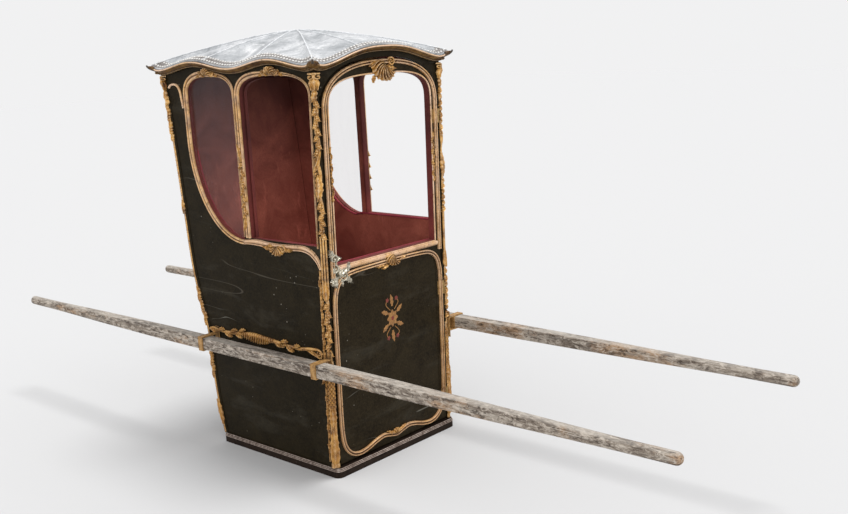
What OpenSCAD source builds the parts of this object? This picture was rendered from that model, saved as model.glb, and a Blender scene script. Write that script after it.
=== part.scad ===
/* [Base] */
// Reach of the base slab beyond the cabin's sides
plinth_side = 7; // [2:1:30]
// Reach of the base slab ahead of the cabin's foot
plinth_front = 21; // [5:1:40]
// Reach of the base slab behind the cabin's foot
plinth_rear = 3; // [1:1:30]
// Height of the base slab
plinth_h = 37; // [20:1:60]
// Radius of the base slab's corners
plinth_r = 25; // [5:1:60]
// Depth of the step along the base slab's top edge
plinth_step = 5; // [2:1:12]
// Thickness of the floor boards
floor_t = 18; // [10:1:30]

/* [Cabin] */
// Outer width of the cabin over its posts
body_w = 682; // [560:1:820]
// Height of the cornice's lower edge at the corners, above the ground
eave_h = 1546; // [1480:1:1860]
// Distance of the front's foot ahead of the centre
front_foot = 337; // [300:1:400]
// Distance of the rear's foot behind the centre
rear_foot = 355; // [300:1:430]
// Angle that the front leans forward
front_lean = 1.3; // [0:0.1:2]
// Width of a front post, side to side
post_w = 20; // [16:1:30]
// Depth of a front post, front to back
post_d = 22; // [18:1:30]
// Depth of a rear post, front to back
rear_post_d = 26; // [18:1:34]
// Thickness of the side walls
wall_t = 18; // [12:1:24]
// Thickness of the back wall
back_t = 20; // [12:1:28]
// Set-back of the walls behind the faces of the posts
wall_inset = 2; // [0.5:0.5:4]
// Thickness of the padded lining
lining_t = 4; // [2:1:8]
// Rise of the cornice over the door
front_hump = 57; // [20:1:70]
// Rise of the cornice over each side window
side_hump = 30; // [10:1:45]
// Rise of the cornice over the back
rear_hump = 24; // [10:1:45]

/* [Side windows] */
// Height of the front side window's sill, above the ground
sill_h = 912; // [850:1:1000]
// Drop of the side windows' crowns below the cornice's corners
window_drop = 3; // [1:1:40]
// Rise of the side windows' arched heads
window_rise = 82; // [40:1:120]
// Distance of the front window behind the cabin's front face
window_set = 34; // [30:1:60]
// Place of the mullion's front edge
mullion_front = 61; // [20:1:90]
// Width of the mullion between the side windows
mullion_w = 40; // [28:1:60]
// Distance of the rear window's rear edge ahead of the rear face
rear_window_set = 136; // [90:1:200]
// Height of the rear window's lowest corner, above the ground
rear_window_low = 903; // [850:1:1000]
// Drop from the cornice's corners to where the rear window's curved lower edge begins
knee_drop = 246; // [150:1:330]
// Thickness of the window glass
glass_t = 4; // [2:0.5:6]

/* [Door] */
// Thickness of the door
door_t = 30; // [20:1:30]
// Gap between the door and the cabin, all round
door_gap = 6.5; // [5:0.5:10]
// Width of the door's stiles beside its window
stile_w = 36; // [30:1:60]
// Drop of the crown of the door's window below the cornice's corners
door_window_drop = 19; // [10:1:60]
// Drop of the springing of the door's arches below the cornice's corners
door_spring_drop = 146; // [120:1:200]
// Height of the door window's sill, above the ground
door_sill_h = 832; // [780:1:900]
// Height of the rails above and below the door's panel
rail_h = 46; // [30:1:80]
// Thickness of the door's panel
panel_t = 12; // [8:1:18]
// Width of the lock plate
lock_w = 96; // [60:1:120]
// Height of the lock plate
lock_h = 110; // [80:1:140]

/* [Roof] */
// Height of the cornice
cornice_h = 28; // [20:1:40]
// Reach of the cornice's lip beyond the cabin
overhang = 25; // [18:1:40]
// Rise of the roof's apex above the cornice's corners
apex_rise = 161; // [130:1:260]
// Fullness of the roof's dome, where more is flatter on top and steeper at the edges
dome_fullness = 1.5; // [1.2:0.1:3]
// Place of the roof's apex behind the centre
apex_y = 85; // [40:1:130]
// Thickness of the roof's shell
roof_t = 8; // [5:1:12]
// Thickness of the roof's lining
ceiling_t = 4; // [2:1:6]
// Rise of the cornice's upturned corners
corner_rise = 16; // [0:1:24]
// Length over which the cornice turns up towards each corner
corner_run = 70; // [40:1:100]
// Set-back of the roof's leather behind the cornice's lip
roof_set = 5; // [2:1:10]

/* [Poles and straps] */
// Distance of each pole's centre from the cabin's side
pole_off = 61; // [48:1:90]
// Height of the poles' centres, above the ground
pole_z = 456; // [400:1:520]
// Width and height of a pole's square middle
pole_side = 50; // [40:1:60]
// Radius of a pole's round ends
pole_end_r = 21; // [17:0.5:24]
// Place of the poles' front ends
pole_front = -1850; // [-2100:10:-1500]
// Place of the poles' rear ends
pole_rear = 1765; // [1400:10:2000]
// Length of a pole's square middle ahead of the centre
pole_square_front = 690; // [500:10:800]
// Length of a pole's square middle behind the centre
pole_square_rear = 630; // [500:10:800]
// Length of the round grip at each end of a pole
grip_l = 160; // [100:10:250]
// Width of a strap along the pole
strap_w = 27; // [18:1:40]
// Thickness of a strap
strap_t = 4; // [3:0.5:6]
// Gap between a pole and its strap, on each side
pole_clear = 0.5; // [0.2:0.1:1]
// Distance of the rear straps' centres ahead of the rear posts
strap_set = 36; // [16:1:90]

/* [Seat] */
// Height of the seat board's top, above the ground
seat_h = 412; // [350:1:450]
// Place of the seat's front edge
seat_front = -20; // [-80:1:60]
// Thickness of the seat's boards
seat_t = 18; // [12:1:25]
// Thickness of the seat cushion
cushion_t = 78; // [40:1:110]
// Gap between the cushion and the lining
cushion_gap = 8; // [4:1:20]

/* [Hidden] */
$fn = 48;

// A piece that fits inside another is this much smaller on each side
fit = 0.3;
half_w = body_w / 2;
wall_h = eave_h - plinth_h;
// Walls and posts end this far above the cornice's lower edge
wall_lap = 12;
// The roof and its cornice stay this far from the cabin
roof_gap = 6;
// Floor, linings and seat stay this far from the closed door
door_back_gap = 7;
floor_top = plinth_h + floor_t;
window_crown_h = eave_h - window_drop;
rear_window_knee = eave_h - knee_drop;
door_crown_h = eave_h - door_window_drop;
door_spring_h = eave_h - door_spring_drop;
apex_h = eave_h + apex_rise;
pole_x = half_w + pole_off;
wall_out = half_w - wall_inset;
wall_in = wall_out - wall_t;
lining_in = wall_in - lining_t;
post_in = half_w - post_w;
door_half = post_in - door_gap;
mullion_rear = mullion_front + mullion_w;
mullion_mid = mullion_front + mullion_w / 2;
// Steps along a curved edge
steps = 18;

// Columns: share of the cabin's height, distance behind the rear's foot
rear_rows = [
    [0, 0], [0.08, 24], [0.18, 42], [0.27, 47], [0.335, 63], [0.405, 96],
    [0.48, 119], [0.64, 141], [0.8, 163], [1, 196]
];
last_row = len(rear_rows) - 1;

function rear_step(s, i = 0) =
    (i >= last_row - 1 || s < rear_rows[i + 1][0]) ? i : rear_step(s, i + 1);
function rear_slope(i) =
    let (a = max(i - 1, 0), b = min(i + 1, last_row))
    (rear_rows[b][1] - rear_rows[a][1]) / (rear_rows[b][0] - rear_rows[a][0]);
function rear_blend(s) =
    let (
        i = rear_step(s),
        h = rear_rows[i + 1][0] - rear_rows[i][0],
        t = min((s - rear_rows[i][0]) / h, 1),
        beyond = max(s - rear_rows[last_row][0], 0)
    )
    rear_rows[i][1] * (2 * pow(t, 3) - 3 * pow(t, 2) + 1)
    + rear_rows[i + 1][1] * (3 * pow(t, 2) - 2 * pow(t, 3))
    + h * rear_slope(i) * (pow(t, 3) - 2 * pow(t, 2) + t)
    + h * rear_slope(i + 1) * (pow(t, 3) - pow(t, 2))
    + beyond * rear_slope(last_row);
// The rear's line, as [height, place], which every piece on it shares
rear_samples = 30;
rear_top = eave_h + rear_hump + cornice_h + 20;
rear_line = [
    for (i = [0:rear_samples]) let (z = plinth_h + (rear_top - plinth_h) * i / rear_samples)
        [z, rear_foot + rear_blend((z - plinth_h) / wall_h)]
];
// Outer faces of the cabin's front and rear at a height above the ground
function front_y(z) = -front_foot - (z - plinth_h) * tan(front_lean);
function rear_y(z) = lookup(z, rear_line);
front_corner = front_y(eave_h);
rear_corner = rear_y(eave_h);
rear_window_edge = rear_y(rear_window_knee) - rear_window_set;
strap_front = front_y(pole_z);
strap_rear = rear_y(pole_z) - rear_post_d - strap_set;

// Inner and outer faces of the cornice
front_in = front_y(eave_h + front_hump + cornice_h) - roof_gap;
front_out = front_in - overhang;
rear_in = rear_y(eave_h + rear_hump + cornice_h) + roof_gap;
rear_out = rear_in + overhang;
side_in = half_w + roof_gap;
side_out = side_in + overhang;

// The cornice's lower edge: u is 0 at a crown and 1 at a corner, d runs in from a tip
function swell(u) = (1 + cos(180 * pow(min(abs(u), 1), 1.3))) / 2;
function wave(y, a, b) =
    (y <= a || y >= b) ? 0 : (1 - cos(360 * (y - a) / (b - a))) / 2;
function upturn(d) = corner_rise * pow(max(0, 1 - d / corner_run), 2);
function front_low(x) =
    eave_h + front_hump * swell(x / half_w) + upturn(side_out - abs(x));
function rear_low(x) =
    eave_h + rear_hump * swell(x / half_w) + upturn(side_out - abs(x));
function side_low(y) = eave_h + upturn(min(y - front_out, rear_out - y)) + side_hump
    * max(wave(y, front_corner, mullion_mid), wave(y, mullion_mid, rear_corner));

// Evenly spaced samples along an edge
function spaced(lo, hi, n = steps) = [for (i = [0:n]) lo + (hi - lo) * i / n];
// Heights of the rear's samples between two heights, with both ends
function rear_heights(lo, hi) = concat(
    [lo], [for (p = rear_line) if (p[0] > lo + 0.5 && p[0] < hi - 0.5) p[0]], [hi]
);
function backwards(list) = [for (i = [len(list) - 1:-1:0]) list[i]];
// An arched head from right to left: n sets how square its shoulders are
function arch(mid, half, spring, crown, n) = [
    for (i = [0:steps * 2])
        let (a = 90 * i / steps, c = cos(a), s = abs(sin(a)))
        [mid + half * sign(c) * pow(abs(c), 2 / n),
         spring + (crown - spring) * pow(s, 2 / n)]
];
// A band that follows the rear curve, from depth d0 to depth d1 inside it
function rear_band(d0, d1, lo, hi) = let (zs = rear_heights(lo, hi)) concat(
    [for (z = zs) [rear_y(z) - d0, z]],
    [for (z = backwards(zs)) [rear_y(z) - d1, z]]
);
// A profile between the front's line and the rear's, set in by f and r
function side_profile(f, r, lo, hi) = concat(
    [[front_y(lo) + f, lo]],
    [for (z = rear_heights(lo, hi)) [rear_y(z) - r, z]],
    [[front_y(hi) + f, hi]]
);
function side_under(rise) = concat(
    [for (y = spaced(front_out, rear_out, 2 * steps)) [y, side_low(y) + rise]],
    [[rear_out, 0], [front_out, 0]]
);

// A flat piece in the front-to-back plane, drawn as [y, z], from x0 to x0 + t
module side_plate(x0, t) {
    translate([x0, 0, 0]) rotate([90, 0, 90]) linear_extrude(t) children();
}
// A flat piece in the side-to-side plane, drawn as [x, z], from y0 to y0 + t
module cross_plate(y0, t) {
    translate([0, y0 + t, 0]) rotate([90, 0, 0]) linear_extrude(t) children();
}
// The door's frame of reference, which leans with the cabin's front
module on_front() {
    translate([0, -front_foot, plinth_h]) rotate([front_lean, 0, 0])
        translate([0, 0, -plinth_h]) children();
}
module on_side(side) {
    mirror([side == "left" ? 1 : 0, 0, 0]) children();
}

// Base

module base_plinth() {
    color("#3b2c24") {
        plinth_layer(0, plinth_h - 2 * plinth_step, 0);
        plinth_layer(plinth_h - 2 * plinth_step, plinth_step, plinth_step / 4);
        plinth_layer(plinth_h - plinth_step, plinth_step, plinth_step * 0.7);
    }
}
module plinth_layer(z, h, inset) {
    w = half_w + plinth_side - inset;
    y0 = -front_foot - plinth_front + inset;
    y1 = rear_foot + plinth_rear - inset;
    r = plinth_r - inset;
    translate([0, 0, z]) {
        translate([-w + r, y0, 0]) cube([2 * (w - r), y1 - y0, h]);
        translate([-w, y0 + r, 0]) cube([2 * w, y1 - y0 - 2 * r, h]);
        for (sx = [-1, 1], y = [y0 + r, y1 - r])
            translate([sx * (w - r), y, 0]) cylinder(r = r, h = h);
    }
}
module floor_board() {
    y0 = front_y(floor_top) + door_t + lining_t + door_back_gap;
    y1 = rear_y(plinth_h) - wall_inset - back_t - fit;
    color("#6b5038")
        translate([-wall_in + fit, y0, plinth_h])
            cube([2 * (wall_in - fit), y1 - y0, floor_t]);
}

// Posts and walls

module front_post(side) {
    top = eave_h + wall_lap;
    color("#8a6a34") on_side(side) side_plate(post_in, post_w)
        polygon([
            [front_y(plinth_h), plinth_h], [front_y(plinth_h) + post_d, plinth_h],
            [front_y(top) + post_d, top], [front_y(top), top]
        ]);
}
module rear_post(side) {
    color("#3a3a2c") on_side(side) side_plate(post_in, post_w)
        polygon(rear_band(0, rear_post_d, plinth_h, eave_h + wall_lap));
}
function window_mid() = (front_y(window_crown_h) + window_set + mullion_front) / 2;
function window_half() = mullion_front - window_mid();
// The front side window's outline, grown by g
function front_window(g) = concat(
    [[front_y(sill_h) + window_set - g, sill_h - g], [mullion_front + g, sill_h - g]],
    arch(window_mid(), window_half() + g, window_crown_h - window_rise,
        window_crown_h + g, 2.8)
);
// The rear side window's outline, grown by g
function rear_window(g) =
    let (
        a = rear_window_edge - mullion_rear + 2 * g,
        b = rear_window_knee - rear_window_low + g,
        mid = (rear_window_edge + mullion_rear) / 2,
        half = (rear_window_edge - mullion_rear) / 2
    ) concat(
        [for (i = [0:steps]) let (t = 90 * i / steps)
            [mullion_rear - g + a * sin(t), rear_window_knee - b * cos(t)]],
        arch(mid, half + g, window_crown_h - window_rise, window_crown_h + g, 2.8)
    );
module wall_outline(f, r, rise, lo, grow) {
    difference() {
        intersection() {
            polygon(side_profile(f, r, lo, eave_h + side_hump + wall_lap));
            polygon(side_under(rise));
        }
        polygon(front_window(grow));
        polygon(rear_window(grow));
    }
}
module side_wall(side) {
    color("#2f3328") on_side(side) side_plate(wall_in, wall_t)
        wall_outline(post_d, rear_post_d, wall_lap, plinth_h, 0);
}
module side_lining(side) {
    color("#6b1f1c") on_side(side) side_plate(lining_in, lining_t)
        wall_outline(door_t + lining_t + door_back_gap, wall_inset + back_t + lining_t + 1,
            -4, floor_top, 6);
}
module back_panel(x_half, d0, d1, lo, rise) {
    intersection() {
        side_plate(-x_half, 2 * x_half)
            polygon(rear_band(d0, d1, lo, eave_h + rear_hump + wall_lap));
        cross_plate(rear_foot - d1 - 10, rear_corner - rear_foot + d1 + 40)
            polygon(concat(
                [for (x = spaced(-half_w, half_w)) [x, rear_low(x) + rise]],
                [[half_w, 0], [-half_w, 0]]
            ));
    }
}
module back_wall() {
    color("#2f3328") back_panel(post_in, wall_inset, wall_inset + back_t, plinth_h, wall_lap);
}
module back_lining() {
    color("#6b1f1c")
        back_panel(lining_in - 1, wall_inset + back_t + fit,
            wall_inset + back_t + fit + lining_t, floor_top, -4);
}
module front_header() {
    color("#2f3328") on_front() cross_plate(wall_inset, post_d - wall_inset)
        difference() {
            polygon(concat(
                [for (x = spaced(-post_in, post_in)) [x, front_low(x) + wall_lap]],
                [[post_in, eave_h - 80], [-post_in, eave_h - 80]]
            ));
            polygon(concat(
                arch(0, post_in, door_spring_h, door_top_h + door_gap, 2.5),
                [[-post_in, door_spring_h - 20], [post_in, door_spring_h - 20]]
            ));
        }
}
module rear_glass(side) {
    color([0.55, 0.52, 0.56, 0.5]) on_side(side)
        side_plate(wall_in + (wall_t - glass_t) / 2, glass_t) polygon(rear_window(-fit));
}

// Door

// Height of the crown of the door's own outline
door_top_h = eave_h + front_hump - 20;
door_low_h = plinth_h + door_gap + 1;
panel_low_h = door_low_h + rail_h;
panel_high_h = door_sill_h - rail_h;
hinge_heights = [plinth_h + 118, (plinth_h + door_sill_h) / 2 + 190, door_spring_h - 60];
hinge_l = 56;
hinge_x = post_in - door_gap / 2;
hinge_r = 5;
hinge_y = -hinge_r - 0.5;
hinge_pin_r = 2.2;
hinge_pin_clear = 0.08;
hinge_plate_t = 1.6;
knuckle_gap = 0.5;

module door_frame() {
    window_half_w = door_half - stile_w;
    color("#2f3328") on_front() cross_plate(0, door_t) difference() {
        polygon(concat(
            arch(0, door_half, door_spring_h, door_top_h, 2.5),
            [[-door_half, door_low_h], [door_half, door_low_h]]
        ));
        polygon(concat(
            arch(0, window_half_w, door_spring_h, door_crown_h, 3.3),
            [[-window_half_w, door_sill_h], [window_half_w, door_sill_h]]
        ));
        polygon([
            [-window_half_w, panel_low_h], [window_half_w, panel_low_h],
            [window_half_w, panel_high_h], [-window_half_w, panel_high_h]
        ]);
    }
}
module door_panel() {
    w = door_half - stile_w - fit;
    color("#33372b") on_front()
        translate([-w, 1, panel_low_h + fit])
            cube([2 * w, panel_t, panel_high_h - panel_low_h - 2 * fit]);
}
module door_lining() {
    w = door_half - stile_w / 2;
    color("#6b1f1c") on_front()
        translate([-w, door_t + fit, panel_low_h - rail_h / 2])
            cube([2 * w, lining_t, panel_high_h - panel_low_h + rail_h]);
}
module door_lock() {
    color("#a9a494") on_front()
        translate([-door_half + 2, -2.5, door_sill_h - 64]) {
            cube([lock_w * 0.34, 2.5, lock_h]);
            cube([lock_w, 2.5, lock_h * 0.34]);
            translate([lock_w * 0.34, 2.5, lock_h * 0.34])
                rotate([90, 0, 0]) cylinder(r = lock_w * 0.22, h = 2.5);
        }
}
module door_handle() {
    color("#b8ad8c") on_front()
        translate([-door_half + 2 + lock_w * 0.34, -2.5, door_sill_h - 64 + lock_h * 0.34])
            rotate([90, 0, 0]) {
                cylinder(r = 5, h = 14);
                translate([0, 0, 14]) sphere(r = 9);
            }
}
knuckle_l = (hinge_l - 2 * knuckle_gap) / 3;
// One third of a door hinge's barrel with its tab, at place i of 0 to 2
module knuckle(i, tab_x, tab_w) {
    translate([0, 0, i * (knuckle_l + knuckle_gap) - hinge_l / 2]) {
        translate([hinge_x, hinge_y, 0]) cylinder(r = hinge_r, h = knuckle_l);
        translate([tab_x, -hinge_plate_t, 0]) cube([tab_w, hinge_plate_t, knuckle_l]);
    }
}
module door_leaf_hinges() {
    color("#9a8650") on_front() for (z = hinge_heights) translate([0, 0, z]) difference() {
        union() {
            translate([hinge_x - 30, -hinge_plate_t, -hinge_l / 2])
                cube([24, hinge_plate_t, hinge_l]);
            for (i = [0, 2]) knuckle(i, hinge_x - 10, 10);
        }
        translate([hinge_x, hinge_y, -hinge_l])
            cylinder(r = hinge_pin_r + hinge_pin_clear, h = 2 * hinge_l);
    }
}
module door_post_hinges() {
    plate_x = hinge_x + hinge_r + 0.5;
    color("#9a8650") on_front() for (z = hinge_heights) translate([0, 0, z]) {
        translate([plate_x, -hinge_plate_t, -hinge_l / 2])
            cube([half_w - 0.5 - plate_x, hinge_plate_t, hinge_l]);
        knuckle(1, hinge_x, plate_x - hinge_x);
        translate([hinge_x, hinge_y, -hinge_l / 2]) cylinder(r = hinge_pin_r, h = hinge_l);
    }
}

// Roof

// Columns: share of the cornice's height where a band starts and ends, share of its reach
cornice_rows = [[0, 0.86, 0.45], [0.45, 0.93, 0.75], [0.8, 1, 1]];

// Samples along a side of the cornice from mitre to mitre
function mitred(lo, hi, reach) = concat([lo - reach], spaced(lo, hi, 2 * steps), [hi + reach]);
// One band of the cornice, as [place, height] points
function band_points(places, lows, a, b) = concat(
    [for (i = [0:len(places) - 1]) [places[i], lows[i] + cornice_h * a]],
    [for (i = [len(places) - 1:-1:0]) [places[i], lows[i] + cornice_h * b]]
);
// Keeps what lies between the mitres of one side, a plan of [x, y] points
module between_mitres(plan) {
    intersection() {
        children();
        translate([0, 0, eave_h - 20])
            linear_extrude(front_hump + rear_hump + side_hump + cornice_h + 60) polygon(plan);
    }
}
module cornice() {
    color("#8f6b34") for (row = cornice_rows) {
        reach = overhang * row[2];
        xs = mitred(-side_in, side_in, reach);
        ys = mitred(front_in, rear_in, reach);
        x = side_in + reach;
        y0 = front_in - reach;
        y1 = rear_in + reach;
        between_mitres([[-side_in, front_in], [-x, y0], [x, y0], [side_in, front_in]])
            cross_plate(y0, reach)
                polygon(band_points(xs, [for (p = xs) front_low(p)], row[0], row[1]));
        between_mitres([[-side_in, rear_in], [-x, y1], [x, y1], [side_in, rear_in]])
            cross_plate(rear_in, reach)
                polygon(band_points(xs, [for (p = xs) rear_low(p)], row[0], row[1]));
        for (side = ["left", "right"]) on_side(side)
            between_mitres([[side_in, front_in], [x, y0], [x, y1], [side_in, rear_in]])
                side_plate(side_in, reach)
                    polygon(band_points(ys, [for (p = ys) side_low(p)], row[0], row[1]));
    }
}

// The roof's edge in plan with its height, counted round from the front left corner
edge_n = 22;
function edge_part(a, b) = [for (i = [0:edge_n - 1]) a + (b - a) * i / edge_n];
roof_x = side_out - roof_set;
roof_y0 = front_out + roof_set;
roof_y1 = rear_out - roof_set;
roof_edge = concat(
    [for (p = edge_part(-roof_x, roof_x)) [p, roof_y0, front_low(p)]],
    [for (p = edge_part(roof_y0, roof_y1)) [roof_x, p, side_low(p)]],
    [for (p = edge_part(roof_x, -roof_x)) [p, roof_y1, rear_low(p)]],
    [for (p = edge_part(roof_y1, roof_y0)) [-roof_x, p, side_low(p)]]
);
// Share of the way from the apex to the edge at each ring
dome_rings = [1, 0.94, 0.86, 0.74, 0.58, 0.4, 0.2];
// The shell is this far above the cornice's lip, which is sampled at other places
leather_gap = 1;
// How much of its rise the dome has at a share r of the way from the apex
function dome_swell(r) = 1 - pow(r, dome_fullness);
// A point below the dome's outer one by drop, at a share r of the way to the edge
function dome_point(p, r, drop) =
    let (z0 = p[2] + cornice_h + leather_gap + roof_t)
    [p[0] * r, apex_y + (p[1] - apex_y) * r, z0 + (apex_h - z0) * dome_swell(r) - drop];
// A shell between two depths below the dome's outer face
module dome_shell(drop0, drop1, rings) {
    n = len(roof_edge);
    m = len(rings);
    half = n * m + 1;
    function skin_points(drop) = concat(
        [for (r = rings, p = roof_edge) dome_point(p, r, drop)],
        [[0, apex_y, apex_h - drop]]
    );
    polyhedron(points = concat(skin_points(drop0), skin_points(drop1)), faces = concat(
        [for (k = [0:m - 2], i = [0:n - 1]) let (j = (i + 1) % n, a = k * n, b = a + n)
            each [[a + i, b + i, b + j], [a + i, b + j, a + j]]],
        [for (i = [0:n - 1]) let (j = (i + 1) % n, a = (m - 1) * n)
            [a + i, half - 1, a + j]],
        [for (k = [0:m - 2], i = [0:n - 1])
            let (j = (i + 1) % n, a = half + k * n, b = a + n)
            each [[a + i, b + j, b + i], [a + i, a + j, b + j]]],
        [for (i = [0:n - 1]) let (j = (i + 1) % n, a = half + (m - 1) * n)
            [a + i, a + j, 2 * half - 1]],
        [for (i = [0:n - 1]) let (j = (i + 1) % n)
            each [[i, j, half + j], [i, half + j, half + i]]]
    ), convexity = 6);
}
module roof_dome() {
    color("#9aa3a8") dome_shell(0, roof_t, dome_rings);
}
module roof_lining() {
    inner_rings = [for (r = dome_rings) if (r * roof_x < lining_in) r];
    color("#7a2a26") dome_shell(roof_t + fit, roof_t + fit + ceiling_t, inner_rings);
}

// Hinges of the roof, under the cornice on the back
roof_hinge_xs = [91 - half_w, half_w - 91];
roof_hinge_r = 6;
roof_hinge_l = 60;
roof_hinge_y = rear_in + 4;
roof_hinge_z = eave_h - 10;
roof_knuckle_l = (roof_hinge_l - 2 * knuckle_gap) / 3;

module roof_knuckle(i) {
    translate([(i - 1) * (roof_knuckle_l + knuckle_gap) - roof_knuckle_l / 2, 0, 0])
        rotate([0, 90, 0]) cylinder(r = roof_hinge_r, h = roof_knuckle_l);
}
module roof_wall_hinges() {
    z = roof_hinge_z;
    color("#9a8650") for (x = roof_hinge_xs) translate([x, 0, 0]) {
        side_plate(-roof_hinge_l / 2, roof_hinge_l)
            polygon(rear_band(-hinge_plate_t, wall_inset, z - 80, z - 12));
        side_plate(-roof_knuckle_l / 2, roof_knuckle_l)
            polygon([
                [rear_y(z - 46), z - 46], [roof_hinge_y + 4, z - 2],
                [roof_hinge_y - 4, z + 2], [rear_y(z - 14), z - 14]
            ]);
        translate([0, roof_hinge_y, z]) {
            roof_knuckle(1);
            translate([-roof_hinge_l / 2, 0, 0]) rotate([0, 90, 0])
                cylinder(r = hinge_pin_r, h = roof_hinge_l);
        }
    }
}
module roof_leaf_hinges() {
    color("#9a8650") for (x = roof_hinge_xs) difference() {
        for (i = [0, 2]) translate([x, roof_hinge_y, roof_hinge_z]) {
            roof_knuckle(i);
            translate([(i - 1) * (roof_knuckle_l + knuckle_gap) - roof_knuckle_l / 2, -2, 0])
                cube([roof_knuckle_l, 5, rear_low(abs(x) + roof_hinge_l / 2) - roof_hinge_z - fit]);
        }
        translate([x - roof_hinge_l, roof_hinge_y, roof_hinge_z]) rotate([0, 90, 0])
            cylinder(r = hinge_pin_r + hinge_pin_clear, h = 2 * roof_hinge_l);
    }
}

// Poles and straps

module pole(side) {
    color("#8d867a") on_side(side) translate([pole_x, 0, pole_z]) {
        translate([-pole_side / 2, -pole_square_front, -pole_side / 2])
            cube([pole_side, pole_square_front + pole_square_rear, pole_side]);
        pole_half(-pole_square_front, pole_front);
        pole_half(pole_square_rear, pole_rear);
    }
}
// The tapered half of a pole, from its square end at a to its round end at b
module pole_half(a, b) {
    way = b > a ? 1 : -1;
    dome_r = pole_end_r;
    grip = b - way * (grip_l + dome_r * 0.6);
    hull() {
        translate([-pole_side / 2, min(a, a - way), -pole_side / 2])
            cube([pole_side, 1, pole_side]);
        translate([0, grip, 0]) rotate([-90 * way, 0, 0])
            cylinder(r = pole_end_r, h = 1, $fn = 32);
    }
    translate([0, grip, 0]) rotate([-90 * way, 0, 0]) cylinder(r = pole_end_r, h = grip_l);
    translate([0, grip + way * grip_l, 0]) rotate([-90 * way, 0, 0])
        cylinder(r1 = pole_end_r, r2 = pole_end_r * 0.62, h = dome_r * 0.6);
}
// A strap that holds a pole: y is its centre, seat is the face that it is screwed to
module strap(side, y, seat) {
    hole = pole_side / 2 + pole_clear;
    outer = hole + strap_t;
    color("#8c6b35") on_side(side) {
        cross_plate(y - strap_w / 2, strap_w) difference() {
            translate([seat, pole_z - outer]) square([pole_x + outer - seat, 2 * outer]);
            translate([pole_x - hole, pole_z - hole]) square(2 * hole);
            translate([seat + strap_t, pole_z - hole])
                square([pole_x - outer - seat - strap_t, 2 * hole]);
        }
        for (s = [-1, 1]) {
            translate([seat, y - strap_w / 2, pole_z + s * (outer + 12) - 14])
                cube([strap_t, strap_w, 28]);
            translate([seat + strap_t, y, pole_z + s * (outer + 15)])
                rotate([0, 90, 0]) cylinder(r = 5, h = 3);
        }
    }
}

// Seat

function back_face(z) = rear_y(z) - wall_inset - back_t - lining_t;
seat_back = back_face(seat_h) - 4;

module seat_riser() {
    color("#5a3a2c")
        translate([-lining_in + fit, seat_front + 12, floor_top])
            cube([2 * (lining_in - fit), seat_t, seat_h - seat_t - floor_top]);
}
module seat_cleats() {
    y0 = seat_front + 12 + seat_t + fit;
    color("#6b5038") for (sx = [-1, 1])
        translate([sx > 0 ? lining_in - fit - 22 : -lining_in + fit, y0, seat_h - seat_t - 30])
            cube([22, seat_back - 40 - y0, 30]);
}
module seat_board() {
    color("#6b5038")
        translate([-lining_in + fit, seat_front, seat_h - seat_t])
            cube([2 * (lining_in - fit), seat_back - seat_front, seat_t]);
}
module seat_cushion() {
    r = 24;
    w = lining_in - cushion_gap - r;
    y0 = seat_front + 4 + r;
    y1 = seat_back - cushion_gap - r;
    color("#7d211f") translate([0, 0, seat_h + fit]) {
        translate([-w - r, y0, 0]) cube([2 * (w + r), y1 - y0, cushion_t]);
        translate([-w, y0 - r, 0]) cube([2 * w, y1 - y0 + 2 * r, cushion_t]);
        for (x = [-w, w], y = [y0, y1]) translate([x, y, 0]) cylinder(r = r, h = cushion_t);
    }
}

base_plinth();
floor_board();
front_post("left");  // front_post_left
front_post("right");  // front_post_right
rear_post("left");  // rear_post_left
rear_post("right");  // rear_post_right
side_wall("left");  // side_wall_left
side_wall("right");  // side_wall_right
back_wall();
front_header();
side_lining("left");  // side_lining_left
side_lining("right");  // side_lining_right
back_lining();
rear_glass("left");  // rear_glass_left
rear_glass("right");  // rear_glass_right
strap("left", strap_front, half_w);  // strap_front_left
strap("right", strap_front, half_w);  // strap_front_right
strap("left", strap_rear, wall_out);  // strap_rear_left
strap("right", strap_rear, wall_out);  // strap_rear_right
seat_riser();
seat_cleats();
seat_board();
seat_cushion();
door_post_hinges();
roof_wall_hinges();
door_frame();
door_panel();
door_lining();
door_lock();
door_handle();
door_leaf_hinges();
cornice();
roof_dome();
roof_lining();
roof_leaf_hinges();
pole("left");  // pole_left
pole("right");  // pole_right
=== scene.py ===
import math
import random

import bmesh
import bpy
from mathutils import Matrix, Vector
from mathutils.bvhtree import BVHTree


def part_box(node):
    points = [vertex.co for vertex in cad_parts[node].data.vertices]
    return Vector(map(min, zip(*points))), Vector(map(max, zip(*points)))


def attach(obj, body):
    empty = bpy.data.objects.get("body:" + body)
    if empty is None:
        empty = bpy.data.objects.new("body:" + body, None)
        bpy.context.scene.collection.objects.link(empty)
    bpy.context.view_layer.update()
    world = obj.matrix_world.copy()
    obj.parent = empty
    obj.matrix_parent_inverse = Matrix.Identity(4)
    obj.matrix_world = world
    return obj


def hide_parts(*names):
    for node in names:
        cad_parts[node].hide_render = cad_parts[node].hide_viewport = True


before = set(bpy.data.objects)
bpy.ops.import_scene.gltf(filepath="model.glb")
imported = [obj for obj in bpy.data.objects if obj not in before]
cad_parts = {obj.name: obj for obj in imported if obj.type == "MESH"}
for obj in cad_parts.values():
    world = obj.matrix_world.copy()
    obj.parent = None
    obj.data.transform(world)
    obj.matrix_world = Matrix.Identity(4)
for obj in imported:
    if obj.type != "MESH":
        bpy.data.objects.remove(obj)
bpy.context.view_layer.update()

# Sizes of the chair in metres, from the CAD nodes' boxes where these give them

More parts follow.
